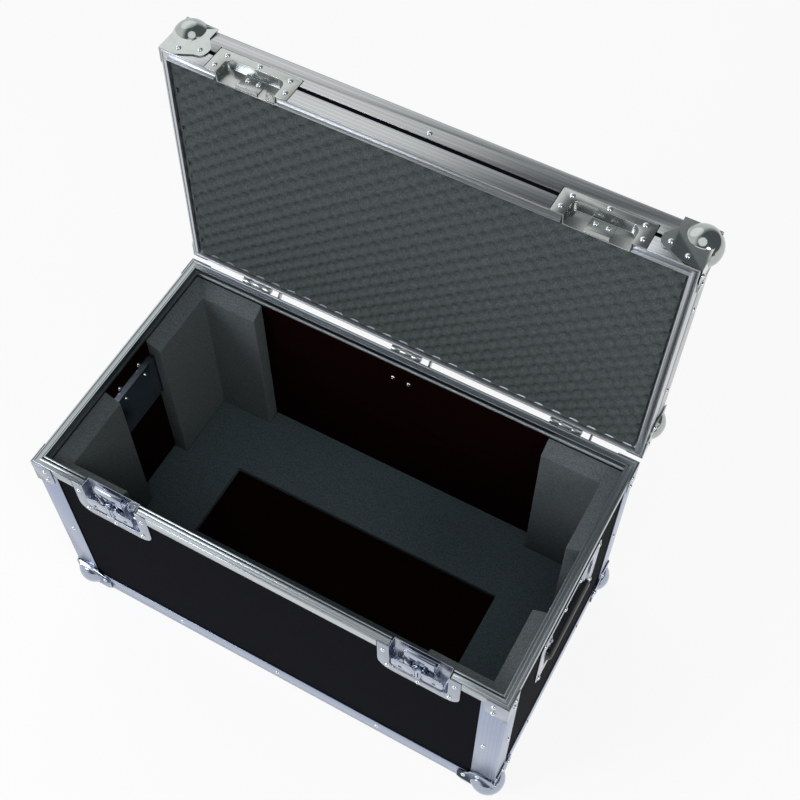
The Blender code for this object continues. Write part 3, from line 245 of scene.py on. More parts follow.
def panel_finish(name, part, closed_height, closed_way):
    """The finish of one part's panels; its floor or top lies at this height, facing out this way."""
    # Black phenolic laminate: a pebbled mould texture of 1.5 mm breaks up its low gloss, and
    # an IOR of 1.06 keeps that gloss as faint as it looks. Deeper than the laminate it is
    # plywood, stained near black, with faint long grain.
    material, tree, output = new_material(name)
    place, axes = part_axes(tree, part)
    end, face = inset(tree, axes)
    shut = node(tree, "ShaderNodeMath", {0: axes.outputs["Z"], 1: closed_height}, operation="SUBTRACT")
    shut = node(tree, "ShaderNodeMath", {0: shut.outputs[0], 1: closed_way}, operation="MULTIPLY")
    depth = node(tree, "ShaderNodeMath", {0: end, 1: face}, operation="MINIMUM")
    depth = node(tree, "ShaderNodeMath", {0: depth.outputs[0], 1: shut.outputs[0]},
                 operation="MINIMUM")
    wood = node(tree, "ShaderNodeMath", {0: depth.outputs[0], 1: LAMINATE_DEPTH},
                operation="GREATER_THAN")
    pebble = node(tree, "ShaderNodeTexVoronoi", {"Vector": pattern_place(tree, PEBBLE_SIZE),
                                                 "Scale": 1.0})
    mottle = node(tree, "ShaderNodeTexNoise", {
        "Vector": pattern_place(tree, MOTTLE_SIZE), "Scale": 1.0, "Detail": 4.0, "Roughness": 0.7})
    stretched = node(tree, "ShaderNodeMapping", {"Vector": place, "Scale": GRAIN_PER_METRE})
    grain = node(tree, "ShaderNodeTexNoise", {"Vector": stretched.outputs["Vector"], "Scale": 1.0,
                                              "Detail": 4.0})
    black = node(tree, "ShaderNodeMix", {"Factor": mottle.outputs["Fac"], "A": colour("#08090C"),
                                         "B": colour("#14151C")}, data_type="RGBA")
    stained = node(tree, "ShaderNodeMix", {"Factor": grain.outputs["Fac"], "A": colour("#0C0302"),
                                           "B": colour("#170806")}, data_type="RGBA")
    tint = node(tree, "ShaderNodeMix", {"Factor": wood.outputs[0], "A": black.outputs["Result"],
                                        "B": stained.outputs["Result"]}, data_type="RGBA")
    gloss = node(tree, "ShaderNodeMapRange", {"Value": pebble.outputs["Distance"], "To Min": 0.58,
                                              "To Max": 0.74})
    relief = node(tree, "ShaderNodeBump", {"Height": pebble.outputs["Distance"], "Strength": 0.35,
                                           "Distance": 0.0002})
    shader = node(tree, "ShaderNodeBsdfPrincipled", {
        "Base Color": tint.outputs["Result"], "Roughness": gloss.outputs["Result"],
        "Normal": relief.outputs["Normal"], "IOR": 1.06})
    tree.links.new(shader.outputs[0], output.inputs["Surface"])
    return material


def dress(names, material):
    """Gives these CAD nodes a material."""
    for name in names:
        slots = frame["nodes"][name].material_slots
        for place in slots:
            place.material = material
        if not slots:
            frame["nodes"][name].data.materials.append(material)


dress(("front_panel", "back_panel", "left_panel", "right_panel", "floor_panel", "floor_board"),
      panel_finish("laminated_plywood_base", base_place, 0.0, 1.0))
dress(("lid_top_panel", "lid_walls"),
      panel_finish("laminated_plywood_lid", lid_place, LID_HEIGHT, -1.0))


# The edging. Every length is drawn aluminium: tongue and groove rims at the mouth, plain angles
# on the other edges. The die leaves fine lengthwise lines, and the metal is satin anodised.
STREAK = 1.6
STREAK_RUNS_PER_METRE = 2.0
REED_PITCH = 5.0
REED_WIDTH = 0.5
RIM_TONES = ("#9FA6AA", "#AAB1B3", "#C6CCCC")
# The front rim's tones are a lighter copy of the rim's: painted light where the front light falls on
# it.
FRONT_RIM_LIT_TONES = ("#B4BBBF", "#BFC6C9", "#D9DEDF")
ANGLE_TONES = ("#9AA5BC", "#A1ABC2", "#AEB7CA")
LID_TONES = ("#A2A4A5", "#ADAFB0", "#C8CACA")
# The lid rim's tones are a lighter copy of the lid's aluminium: painted light on the lid's rim.
LID_RIM_LIT_TONES = ("#B8BCC0", "#C4C8CC", "#DADDE0")
EDGE_ROUND = 0.0003
CORNERS = ("front_left", "front_right", "back_left", "back_right")


def copy_of(name, new_name):
    """A merged copy of a CAD node, alone in the selection, with its faces rejoined."""
    bpy.ops.object.select_all(action="DESELECT")
    source = frame["nodes"][name]
    piece = source.copy()
    piece.data = source.data.copy()
    piece.name = new_name
    piece.parent = None
    piece.matrix_world = Matrix.Identity(4)
    piece.animation_data_clear()
    for key in list(piece.keys()):
        del piece[key]
    bpy.context.scene.collection.objects.link(piece)
    piece.hide_set(False)
    piece.select_set(True)
    bpy.context.view_layer.objects.active = piece
    bpy.ops.object.mode_set(mode="EDIT")
    bpy.ops.mesh.select_all(action="SELECT")
    bpy.ops.mesh.remove_doubles(threshold=0.00001)
    bpy.ops.mesh.dissolve_limited(angle_limit=math.radians(1.0))
    bpy.ops.object.mode_set(mode="OBJECT")
    return piece


def soften(piece, width, steps=2, sharp=30.0):
    """Rounds edges that turn by more than so many degrees, and shades the rest smooth."""
    bevel = piece.modifiers.new("rounded_edges", "BEVEL")
    bevel.width = width
    bevel.segments = steps
    bevel.limit_method = "ANGLE"
    bevel.angle_limit = math.radians(sharp)
    bevel.use_clamp_overlap = True
    bpy.ops.object.modifier_apply(modifier=bevel.name)
    bpy.ops.object.shade_smooth_by_angle(angle=math.radians(sharp))


def body_of(name):
    """The CAD body that carries a node."""
    bodies = frame["record"]["behaviour"]["bodies"]
    return next(body for body, names in bodies.items() if name in names)


def finish_piece(piece, material, body):
    """Paints a finished piece and seats it on its body."""
    piece.data.materials.clear()
    piece.data.materials.append(material)
    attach(piece, body)


def finished_copy(name, material, width, steps=2):
    """Replaces a CAD node by a copy with rounded edges."""
    piece = copy_of(name, name + "_rounded")
    soften(piece, width, steps)
    finish_piece(piece, material, body_of(name))
    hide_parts(name)
    return piece


def edging_finish(name, tones, part, upright=False):
    """The finish of the edging; an upright length runs along Z and any other along X or Y."""
    # Drawn and anodised aluminium: a satin sheen with streaks 1.6 mm apart and shallow reeds
    # every 5 mm, all lengthwise. The reeds are 0.3 mm wide on the real metal and drawn 0.5 mm
    # wide here, so that they show. The last tone is a painted highlight along the reeds.
    material, tree, output = new_material(name)
    place, axes = part_axes(tree, part)
    end, face = inset(tree, axes)
    if upright:
        across = node(tree, "ShaderNodeMath", {0: end, 1: face}, operation="ADD")
        along = axes.outputs["Z"]
    else:
        nearest = node(tree, "ShaderNodeMath", {0: end, 1: face}, operation="MINIMUM")
        across = node(tree, "ShaderNodeMath", {0: nearest.outputs[0], 1: axes.outputs["Z"]},
                      operation="ADD")
        along = node(tree, "ShaderNodeMath", {0: axes.outputs["X"], 1: axes.outputs["Y"]},
                     operation="ADD").outputs[0]
    drawn = node(tree, "ShaderNodeCombineXYZ", {"X": across.outputs[0], "Y": along})
    stretched = node(tree, "ShaderNodeMapping", {
        "Vector": drawn.outputs["Vector"], "Scale": (1000.0 / STREAK, STREAK_RUNS_PER_METRE, 1.0)})
    streak = node(tree, "ShaderNodeTexNoise", {"Vector": stretched.outputs["Vector"], "Scale": 1.0,
                                               "Detail": 2.0, "Roughness": 0.6})
    turns = node(tree, "ShaderNodeMath", {0: across.outputs[0], 1: 1000.0 / REED_PITCH},
                 operation="MULTIPLY")
    turn = node(tree, "ShaderNodeMath", {0: turns.outputs[0]}, operation="FRACT")
    middle = node(tree, "ShaderNodeMath", {0: turn.outputs[0], 1: 0.5}, operation="SUBTRACT")
    off = node(tree, "ShaderNodeMath", {0: middle.outputs[0]}, operation="ABSOLUTE")
    reed_relief_and_highlight = node(tree, "ShaderNodeMapRange", {
        "Value": off.outputs[0], "From Min": 0.0, "From Max": REED_WIDTH / REED_PITCH,
        "To Min": 1.0, "To Max": 0.0})
    tint = node(tree, "ShaderNodeMix", {"Factor": streak.outputs["Fac"], "A": colour(tones[0]),
                                        "B": colour(tones[1])}, data_type="RGBA")
    # Where the reeds stand the tone is lighter: a painted highlight along them, over their real relief.
    bright = node(tree, "ShaderNodeMix", {"Factor": reed_relief_and_highlight.outputs["Result"], "A": tint.outputs["Result"],
                                          "B": colour(tones[2])}, data_type="RGBA")
    gloss = node(tree, "ShaderNodeMapRange", {"Value": streak.outputs["Fac"], "To Min": 0.23,
                                              "To Max": 0.34})
    relief = node(tree, "ShaderNodeBump", {"Height": reed_relief_and_highlight.outputs["Result"], "Strength": 0.12,
                                           "Distance": 0.0003})
    shader = node(tree, "ShaderNodeBsdfPrincipled", {
        "Base Color": bright.outputs["Result"], "Metallic": 1.0, "Roughness": gloss.outputs["Result"],
        "Normal": relief.outputs["Normal"]})
    tree.links.new(shader.outputs[0], output.inputs["Surface"])
    return material


rim_metal = edging_finish("drawn_aluminium_rim", RIM_TONES, base_place)
# The front rim takes the rim's finish painted lighter, as light falling on the front.
front_rim_lit_metal = edging_finish("drawn_aluminium_front_rim_painted_lit", FRONT_RIM_LIT_TONES, base_place)
angle_metal = edging_finish("drawn_aluminium_angle", ANGLE_TONES, base_place)
upright_metal = edging_finish("drawn_aluminium_upright", ANGLE_TONES, base_place, upright=True)
lid_metal = edging_finish("drawn_aluminium_lid", LID_TONES, lid_place)
# The lid's rim takes a lighter copy of the lid's finish, as painted light.
lid_rim_lit_metal = edging_finish("drawn_aluminium_lid_rim_painted_lit", LID_RIM_LIT_TONES, lid_place)
finished_copy("base_rim", rim_metal, EDGE_ROUND)
finished_copy("base_front_rim", front_rim_lit_metal, EDGE_ROUND)
finished_copy("bottom_angles", angle_metal, EDGE_ROUND)
finished_copy("lid_rim", lid_rim_lit_metal, EDGE_ROUND)
finished_copy("lid_front_rim", lid_metal, EDGE_ROUND)
finished_copy("lid_top_angles", lid_metal, EDGE_ROUND)
for corner in CORNERS:
    finished_copy("corner_angle_" + corner, upright_metal, EDGE_ROUND)


# The corner braces: pressed plates that bridge the rim and the corner angle, riveted to both.
# Like all the fittings they are mild steel with bright zinc plating, faint blue or faint straw.
RIPPLE_SIZE = 9.0
GRIT_SIZE = 1.1
SHINIER = 0.05
DULLER = 0.07


def plated_finish(name, roughness, tones):
    """A bright metal of this roughness, which wanders between two tones."""
    # Zinc plate on pressed steel, or bright aluminium: slow ripples from the press bend what it
    # mirrors, and its tint wanders over 9 mm. The grit that dulls it here and there is finer on
    # the real metal and drawn 1.1 mm wide, so that it shows.
    material, tree, output = new_material(name)
    ripple = node(tree, "ShaderNodeTexNoise", {"Vector": pattern_place(tree, RIPPLE_SIZE),
                                               "Scale": 1.0, "Detail": 2.0})
    grit = node(tree, "ShaderNodeTexNoise", {"Vector": pattern_place(tree, GRIT_SIZE),
                                             "Scale": 1.0, "Detail": 2.0})
    tint = node(tree, "ShaderNodeMix", {"Factor": ripple.outputs["Fac"], "A": colour(tones[0]),
                                        "B": colour(tones[1])}, data_type="RGBA")
    gloss = node(tree, "ShaderNodeMapRange", {
        "Value": grit.outputs["Fac"], "To Min": roughness - SHINIER, "To Max": roughness + DULLER})
    relief = node(tree, "ShaderNodeBump", {"Height": ripple.outputs["Fac"], "Strength": 0.25,
                                           "Distance": 0.00015})
    shader = node(tree, "ShaderNodeBsdfPrincipled", {
        "Base Color": tint.outputs["Result"], "Metallic": 1.0, "Roughness": gloss.outputs["Result"],
        "Normal": relief.outputs["Normal"]})
    tree.links.new(shader.outputs[0], output.inputs["Surface"])
    return material


blue_zinc = plated_finish("blue_zinc_plate", 0.22, ("#98A0B0", "#ABB1BB"))
for corner in CORNERS:
    finished_copy("rim_brace_" + corner, blue_zinc, EDGE_ROUND)


# The ball corners: one at each corner of base and lid, pressed in one piece from sheet steel
# into a hollow ball with three legs that lap the edging, where rivets hold them.
# They are polished before they are plated: faint blue on the base and faint straw on the lid.
BALL_RADIUS = 0.0231
BALL_INSET = 0.013
BALL_ROUND = 0.0006
BALL_SHARP = 24.0
ROOM_EDGE = 0.0003
WAYS = {"front_left": (-1, -1), "front_right": (1, -1), "back_left": (-1, 1), "back_right": (1, 1)}


def corner_place(part, corner, height, up_way):
    """Takes a place drawn in from a corner along +X, +Y and +Z to one corner of the base or lid."""
    way_x, way_y = WAYS[corner]
    corner_point = Matrix.Translation((way_x * HALF_WIDTH, way_y * HALF_DEPTH, height))
    return part @ corner_point @ Matrix.Diagonal((-way_x, -way_y, up_way, 1.0))


def boolean(piece, other, operation):
    """Joins or cuts a piece with another and removes the other."""
    step = piece.modifiers.new("shape", "BOOLEAN")
    step.operation = operation
    step.object = other
    bpy.ops.object.select_all(action="DESELECT")
    bpy.context.view_layer.objects.active = piece
    piece.select_set(True)
    bpy.ops.object.modifier_apply(modifier=step.name)
    bpy.data.objects.remove(other, do_unlink=True)


def ball_corner(name, place, material):
    """A smooth ball pressed into the CAD corner's plates, cut away inside the case."""
    piece = copy_of(name, name + "_pressed")
    bpy.ops.object.select_all(action="DESELECT")
    bpy.ops.mesh.primitive_uv_sphere_add(segments=40, ring_count=24, radius=BALL_RADIUS,
                                         location=place @ Vector((BALL_INSET,) * 3))
    ball = bpy.context.object
    boolean(piece, ball, "UNION")
    room_size = 2 * BALL_RADIUS
    bpy.ops.object.select_all(action="DESELECT")
    bpy.ops.mesh.primitive_cube_add(size=1.0, location=(0.0, 0.0, 0.0))
    room = bpy.context.object
    room_middle = Matrix.Translation((room_size / 2 - ROOM_EDGE,) * 3)
    room.data.transform(room_middle @ Matrix.Scale(room_size, 4))
    room.data.transform(place)
    if place.determinant() < 0:
        room.data.flip_normals()
    boolean(piece, room, "DIFFERENCE")
    soften(piece, BALL_ROUND, sharp=BALL_SHARP)
    finish_piece(piece, material, body_of(name))
    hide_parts(name)


blue_polish = plated_finish("polished_blue_zinc", 0.10, ("#9BA5B8", "#B3BAC6"))
straw_polish = plated_finish("polished_straw_zinc", 0.10, ("#A0ABAE", "#B9BAB2"))
for corner in CORNERS:
    base_corner = corner_place(base_place, corner, 0.0, 1)
    lid_corner = corner_place(lid_place, corner, LID_HEIGHT, -1)
    ball_corner("ball_corner_" + corner, base_corner, blue_polish)
    ball_corner("lid_ball_corner_" + corner, lid_corner, straw_polish)


# The butterfly latches. A tray is pressed into the base's front wall and another into the lid's;
# the knob turns the hook down and in over the lid's keeper, and its two wings fold flat.
TRAY_ROUND = 0.0005
straw_zinc = plated_finish("straw_zinc_plate", 0.22, ("#9FA5A4", "#B4B6B3"))
for side in ("left", "right"):
    finished_copy(side + "_latch_dish", blue_zinc, TRAY_ROUND, steps=3)
    finished_copy(side + "_lid_latch_dish", straw_zinc, TRAY_ROUND, steps=3)
    for name in ("_latch_hook", "_latch_knob", "_latch_left_wing", "_latch_right_wing"):
        finished_copy(side + name, blue_polish, EDGE_ROUND)


# The handles: a dish pressed into each end wall, a bent rod bail and a moulded rubber grip.
# The bail is bright plated steel and the grip is black rubber, moulded round it.
DISH_ROUND = 0.0006
BAIL_ROUND = 0.0002
GRIP_ROUND = 0.0006
RUBBER_GRAIN_AND_SHINE = 0.8


def rubber_finish():
    """The finish of the grips."""
    # Moulded black rubber: fine matt grain of 0.8 mm, its crowns toned lighter as a painted soft shine.
    material, tree, output = new_material("moulded_black_rubber")
    grain = node(tree, "ShaderNodeTexNoise", {"Vector": pattern_place(tree, RUBBER_GRAIN_AND_SHINE),
                                              "Scale": 1.0, "Detail": 2.0})
    # The lighter tone on the grain's crowns is a painted shine; the grain's relief is real bump.
    tint = node(tree, "ShaderNodeMix", {"Factor": grain.outputs["Fac"], "A": colour("#0B0C0D"),
                                        "B": colour("#1A1B1C")}, data_type="RGBA")
    relief = node(tree, "ShaderNodeBump", {"Height": grain.outputs["Fac"], "Strength": 0.2,
                                           "Distance": 0.0001})
    shader = node(tree, "ShaderNodeBsdfPrincipled", {
        "Base Color": tint.outputs["Result"], "Roughness": 0.38, "Normal": relief.outputs["Normal"]})
    tree.links.new(shader.outputs[0], output.inputs["Surface"])
    return material


rubber = rubber_finish()
for side in ("left", "right"):
    finished_copy(side + "_handle_dish", blue_zinc, DISH_ROUND, steps=3)
    finished_copy(side + "_handle_bail", blue_polish, BAIL_ROUND)
    finished_copy(side + "_handle_grip", rubber, GRIP_ROUND)


# The hinges: three rolled steel hinges on the back, zinc plated. One leaf is riveted to the base
# and one to the lid, and a pin runs through their knuckles.
for side in ("left", "middle", "right"):
    for name in ("_hinge_base_leaf", "_hinge_lid_leaf"):
        finished_copy(side + name, straw_zinc, EDGE_ROUND)


# The foam in the base: open-cell charcoal foam, cut with a knife and glued in.
# The floor has a flat frame, and the corners have upright pads.
CELL_SIZE = 1.2
FOAM_MOTTLE = 3.0
FOAM_ROUND = 0.0015


def foam_finish(name, tones):
    """A foam whose tone wanders by a random mottle and darkens as painted shade in its cells' pits."""
    # Open-cell foam: dead matt, its cells toned darker in their pits as painted shade, over a soft
    # mottling 3 mm across. The cells are finer on real foam and drawn 1.2 mm wide, so that they show.
    material, tree, output = new_material(name)
    cells = node(tree, "ShaderNodeTexVoronoi", {"Vector": pattern_place(tree, CELL_SIZE), "Scale": 1.0})
    mottle = node(tree, "ShaderNodeTexNoise", {
        "Vector": pattern_place(tree, FOAM_MOTTLE), "Scale": 1.0, "Detail": 4.0, "Roughness": 0.65})
    # The middle of each cell is the bottom of its pit, and there the tone is darker: painted shade, on
    # top of the random mottle.
    both = node(tree, "ShaderNodeMath", {0: cells.outputs["Distance"], 1: mottle.outputs["Fac"]},
                operation="ADD")
    share = node(tree, "ShaderNodeMapRange", {"Value": both.outputs[0], "From Min": 0.5,
                                              "From Max": 1.3})
    tint = node(tree, "ShaderNodeMix", {"Factor": share.outputs["Result"], "A": colour(tones[0]),
                                        "B": colour(tones[1])}, data_type="RGBA")
    relief = node(tree, "ShaderNodeBump", {"Height": cells.outputs["Distance"], "Strength": 0.5,
                                           "Distance": 0.0004})
    shader = node(tree, "ShaderNodeBsdfPrincipled", {
        "Base Color": tint.outputs["Result"], "Roughness": 0.95, "Normal": relief.outputs["Normal"],
        "Specular IOR Level": 0.1})
    tree.links.new(shader.outputs[0], output.inputs["Surface"])
    return material


floor_foam_look = foam_finish("charcoal_floor_foam", ("#323C40", "#566367"))
pad_foam_look = foam_finish("charcoal_pad_foam", ("#42494A", "#696F70"))
floor_foam = finished_copy("floor_foam", floor_foam_look, FOAM_ROUND, steps=3)
for corner in CORNERS:
    pad = finished_copy("foam_pad_" + corner, pad_foam_look, FOAM_ROUND, steps=3)


# The foam in the lid: a convoluted sheet, whose egg-box face is made by squeezing a block between
# toothed rollers as a blade splits it. It is glued to the lid and cut out round the latch trays.
# The pits lie in rows, each row shifted a little less than half a pitch from the one before it.
PIT_PITCH = 0.0235
ROW_PITCH = 0.0118
ROW_SHIFT = 0.0096
PIT_DEPTH = 0.007
PIT_SHARPNESS = 2.4
FOAM_STEP = 0.0025
NOTCH_MARGIN = 0.001
foam_low, foam_high = reach_of("lid_foam", lid_place)
foam_size = foam_high - foam_low
bpy.ops.object.select_all(action="DESELECT")
bpy.ops.mesh.primitive_grid_add(x_subdivisions=round(foam_size.x / FOAM_STEP),
                                y_subdivisions=round(foam_size.y / FOAM_STEP), size=1.0)
sheet = bpy.context.object
sheet.name = "lid_foam_dimpled"
bpy.ops.object.mode_set(mode="EDIT")
bpy.ops.transform.resize(value=(foam_size.x, foam_size.y, 1.0))
bpy.ops.mesh.extrude_region_move(TRANSFORM_OT_translate={"value": (0.0, 0.0, foam_size.z)})
bpy.ops.mesh.select_all(action="SELECT")
bpy.ops.mesh.normals_make_consistent(inside=False)
bpy.ops.mesh.select_all(action="DESELECT")
bpy.ops.mesh.select_mode(type="FACE")
bpy.ops.object.mode_set(mode="OBJECT")

# The glued face is one flat face, and the pits are pressed into the other.
for face in sheet.data.polygons:
    face.select = face.normal.z < -0.9
bpy.ops.object.mode_set(mode="EDIT")
bpy.ops.mesh.dissolve_faces()
bpy.ops.mesh.select_mode(type="VERT")
bpy.ops.object.mode_set(mode="OBJECT")
for vertex in sheet.data.vertices:
    if vertex.co.z > foam_size.z / 2:
        row = -vertex.co.y / ROW_PITCH
        turn = (vertex.co.x - row * ROW_SHIFT) / PIT_PITCH
        waves = math.cos(2.0 * math.pi * turn) + math.cos(2.0 * math.pi * (turn + row))
        vertex.co.z -= PIT_DEPTH * ((2.0 + waves) / 4.0) ** PIT_SHARPNESS
glued_middle = Matrix.Translation(((foam_low.x + foam_high.x) / 2, (foam_low.y + foam_high.y) / 2,
                                   foam_high.z))
sheet.data.transform(lid_place @ glued_middle @ Matrix.Rotation(math.pi, 4, "X"))

# The notches for the latch trays are read from the CAD foam: its corners away from its outline.
corners = [lid_place.inverted() @ vertex.co for vertex in frame["nodes"]["lid_foam"].data.vertices]
notch_low = foam_low.y + NOTCH_MARGIN
notch_high = foam_high.y - NOTCH_MARGIN
notch = [corner for corner in corners if notch_low < corner.y < notch_high]
notch_depth = max(corner.y for corner in notch) - foam_low.y
notch_near = min(abs(corner.x) for corner in notch)
notch_far = max(abs(corner.x) for corner in notch)
for way in (-1, 1):
    bpy.ops.object.select_all(action="DESELECT")
    bpy.ops.mesh.primitive_cube_add(size=1.0)
    cutter = bpy.context.object
    centre = Matrix.Translation((way * (notch_near + notch_far) / 2, foam_low.y, foam_low.z))
    size = Matrix.Diagonal((notch_far - notch_near, 2 * notch_depth, 4 * foam_size.z, 1.0))
    cutter.data.transform(lid_place @ centre @ size)
    boolean(sheet, cutter, "DIFFERENCE")
bpy.ops.object.shade_smooth_by_angle(angle=math.radians(40.0))
lid_foam_look = foam_finish("convoluted_foam", ("#343838", "#5B6160"))
finish_piece(sheet, lid_foam_look, body_of("lid_foam"))
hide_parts("lid_foam")


# The rivets: aluminium pop rivets with a domed head and the open mandrel hole in its middle.
# They hold every edging, plate, tray, handle and hinge to the plywood, and shine brighter than it.
# DOME gives each ring of the head by its share of the head's radius and of its rise.
HEAD_RADIUS = 0.0034
HEAD_RISE = 0.0024
HEAD_SUNK = 0.0003
DOME = ((1.0, 0.0), (1.0, 0.15), (0.93, 0.45), (0.78, 0.74), (0.55, 0.93), (0.26, 1.0), (0.18, 0.7))
bpy.ops.object.select_all(action="DESELECT")
bpy.ops.mesh.primitive_circle_add(vertices=12, radius=HEAD_RADIUS, fill_type="NGON")
rivet = bpy.context.object
rivet.name = "rivet_pattern"
bpy.ops.object.mode_set(mode="EDIT")
bpy.ops.transform.translate(value=(0.0, 0.0, -HEAD_SUNK))
for (wide, low), (narrow, high) in zip(DOME, DOME[1:]):
    rise = (0.0, 0.0, (high - low) * HEAD_RISE)
    bpy.ops.mesh.extrude_region_move(TRANSFORM_OT_translate={"value": rise})
    bpy.ops.transform.resize(value=(narrow / wide, narrow / wide, 1.0))
bpy.ops.mesh.select_all(action="SELECT")
bpy.ops.mesh.normals_make_consistent(inside=False)
bpy.ops.object.mode_set(mode="OBJECT")
bpy.ops.object.shade_smooth_by_angle(angle=math.radians(50.0))
rivet_metal = plated_finish("bright_rivet_aluminium", 0.12, ("#CED4DB", "#E2E5E7"))
RAY_START = 0.05


def skin_of(body):
    """A search tree over every face of one body."""
    points = []
    faces = []
    for name in frame["record"]["behaviour"]["bodies"][body]:
        mesh = frame["nodes"][name].data
        faces += [[len(points) + index for index in face.vertices] for face in mesh.polygons]
        points += [vertex.co.copy() for vertex in mesh.vertices]
    return BVHTree.FromPolygons(points, faces)


def seated(skin, place, along, up):
    """The place of a rivet on the first face that lies under it."""
    start = place @ Vector((along, up, RAY_START))
    way = (place.to_3x3() @ Vector((0.0, 0.0, -1.0))).normalized()
    hit = skin.ray_cast(start, way, 2 * RAY_START)[0]
    return place @ Matrix.Translation((along, up, RAY_START - (hit - start).length))


def wall_place(side):
    """Takes (along, up, out) on one outer wall of the base or the lid to that part's frame."""
    turn = {"front": 0, "right": 90, "back": 180, "left": 270}[side]
    out = HALF_DEPTH if side in ("front", "back") else HALF_WIDTH
    return (Matrix.Rotation(math.radians(turn), 4, "Z") @ Matrix.Translation((0.0, -out, 0.0))
            @ Matrix.Rotation(math.pi / 2, 4, "X"))


def both_ways(rows):
    """Each (along, up) and its mirror image, without repeats."""
    return sorted({(way * along, up) for along, up in rows for way in (-1, 1)})


def rivet_group(name, body, places):
    """Copies the rivet to each place and joins the copies into one piece."""
    bpy.ops.object.select_all(action="DESELECT")
    for place in places:
        head = rivet.copy()
        head.data = rivet.data.copy()
        head.data.transform(place)
        bpy.context.scene.collection.objects.link(head)
        head.select_set(True)
        bpy.context.view_layer.objects.active = head
    bpy.ops.object.join()
    group = bpy.context.object
    group.name = name
    finish_piece(group, rivet_metal, body)


# Where the rivets sit on the edging and the corners: in from an edge, or down from the rim. A row
# runs along a side from its middle, and a pair is (in from the upright edge, up from the edge
# below). Up is as when the lid is shut.
EDGE_IN = 0.022
LONG_ROW = (-0.151, 0.0, 0.151)
SHORT_ROW = (-0.0755, 0.0755)
BRACE_IN = 0.017
BRACE_DOWN = (0.011, 0.031)
ANGLE_MIDDLE = 0.161
LEG_PAIR = ((0.041, 0.022), (0.022, 0.041))
LID_LEG_PAIR = ((0.018, 0.0105), (0.040, 0.020))

# On the fittings, a pair is (along from the fitting's middle, up from the rim). The hinges'
# rows go down the base and up the lid, and the back pair sits below the middle hinge.
latch_low, latch_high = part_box("right_latch_dish")
hinge_low, hinge_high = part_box("right_hinge_base_leaf")
handle_low, handle_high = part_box("right_handle_dish")
LATCH_X = (latch_low.x + latch_high.x) / 2
BASE_LATCH_PLATE = ((0.0453, -0.016), (0.040, -0.0565), (0.0, -0.060))
LID_LATCH_PLATE = ((0.0453, 0.010), (0.0405, 0.0285), (0.0, 0.031))
KEEPER_PAIR = ((0.007, 0.0158),)
HINGE_X = (hinge_low.x + hinge_high.x) / 2
HINGE_HALF = 0.025
HINGE_ROWS = (0.011, 0.024)
BACK_PAIR_HALF = 0.0115
BACK_PAIR_DOWN = 0.044
HANDLE_UP = (handle_low.z + handle_high.z) / 2 - edging_low.z
HANDLE_HALF = 0.049
HANDLE_ROW = (-0.074, -0.021, 0.021, 0.074)

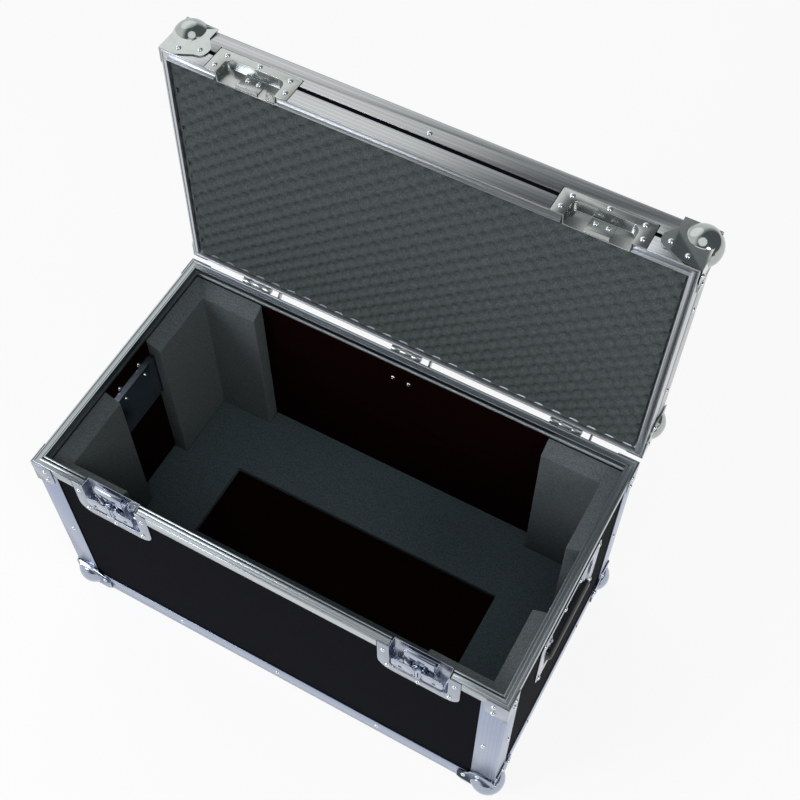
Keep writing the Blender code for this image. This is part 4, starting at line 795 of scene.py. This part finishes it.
case_skin = skin_of("case")
lid_skin = skin_of("lid")
case_rivets = []
lid_rivets = []
for side in ("front", "right", "back", "left"):
    long_side = side in ("front", "back")
    half = HALF_WIDTH if long_side else HALF_DEPTH
    row = LONG_ROW if long_side else SHORT_ROW
    base_rows = [(along, EDGE_IN) for along in row]
    base_rows += both_ways([(half - EDGE_IN, ANGLE_MIDDLE)])
    base_rows += both_ways([(half - BRACE_IN, BASE_HEIGHT - down) for down in BRACE_DOWN])
    base_rows += both_ways([(half - along, up) for along, up in LEG_PAIR])
    lid_rows = both_ways([(half - along, up) for along, up in LID_LEG_PAIR])
    if side == "front":
        lid_rows += [(0.0, LID_HEIGHT - EDGE_IN)]
        for middle in (-LATCH_X, LATCH_X):
            for along, up in both_ways(BASE_LATCH_PLATE):
                base_rows.append((middle + along, BASE_HEIGHT + up))
            for along, up in both_ways(LID_LATCH_PLATE + KEEPER_PAIR):
                lid_rows.append((middle + along, up))
    else:
        lid_rows += [(along, LID_HEIGHT - EDGE_IN) for along in row]
    if side == "back":
        for middle in (-HINGE_X, 0.0, HINGE_X):
            for along in (-HINGE_HALF, HINGE_HALF):
                base_rows += [(middle + along, BASE_HEIGHT - down) for down in HINGE_ROWS]
                lid_rows += [(middle + along, up) for up in HINGE_ROWS]
        base_rows += both_ways([(BACK_PAIR_HALF, BASE_HEIGHT - BACK_PAIR_DOWN)])
    if not long_side:
        for along in HANDLE_ROW:
            base_rows += [(along, HANDLE_UP + way * HANDLE_HALF) for way in (-1, 1)]
    base_wall = base_place @ wall_place(side)
    lid_wall = lid_place @ wall_place(side)
    case_rivets += [seated(case_skin, base_wall, along, up) for along, up in base_rows]
    lid_rivets += [seated(lid_skin, lid_wall, along, up) for along, up in lid_rows]

# The underside and the lid's top carry the same rows.
underside = base_place @ Matrix.Rotation(math.pi, 4, "X")
lid_top = lid_place @ Matrix.Translation((0.0, 0.0, LID_HEIGHT))
long_edges = [(along, way * (HALF_DEPTH - EDGE_IN)) for along in LONG_ROW for way in (-1, 1)]
short_edges = [(HALF_WIDTH - EDGE_IN, along) for along in SHORT_ROW]
legs = [(HALF_WIDTH - along, way * (HALF_DEPTH - up)) for along, up in LEG_PAIR for way in (-1, 1)]
flat_rows = both_ways(long_edges) + both_ways(short_edges) + both_ways(legs)
case_rivets += [seated(case_skin, underside, along, up) for along, up in flat_rows]
lid_rivets += [seated(lid_skin, lid_top, along, up) for along, up in flat_rows]
rivet_group("case_rivets", "case", case_rivets)
rivet_group("lid_rivets", "lid", lid_rivets)

# Their tails, clenched on the inner faces where the foam leaves the plywood bare: six round each
# handle's dish, and the back pair. They are found by looking out from inside the case.
TAIL_DISH_UP = 0.030
INSIDE_DEPTH = 0.06
inside_out = Matrix.Translation((0.0, 0.0, -INSIDE_DEPTH)) @ Matrix.Rotation(math.pi, 4, "Y")
tails = []
for side in ("left", "right"):
    inner_wall = base_place @ wall_place(side) @ inside_out
    for along in (-HANDLE_ROW[2], HANDLE_ROW[2]):
        for up in (-HANDLE_HALF, TAIL_DISH_UP, HANDLE_HALF):
            tails.append(seated(case_skin, inner_wall, along, HANDLE_UP + up))
inner_wall = base_place @ wall_place("back") @ inside_out
for along in (-BACK_PAIR_HALF, BACK_PAIR_HALF):
    tails.append(seated(case_skin, inner_wall, along, BASE_HEIGHT - BACK_PAIR_DOWN))
rivet_group("rivet_tails", "case", tails)
bpy.data.objects.remove(rivet, do_unlink=True)
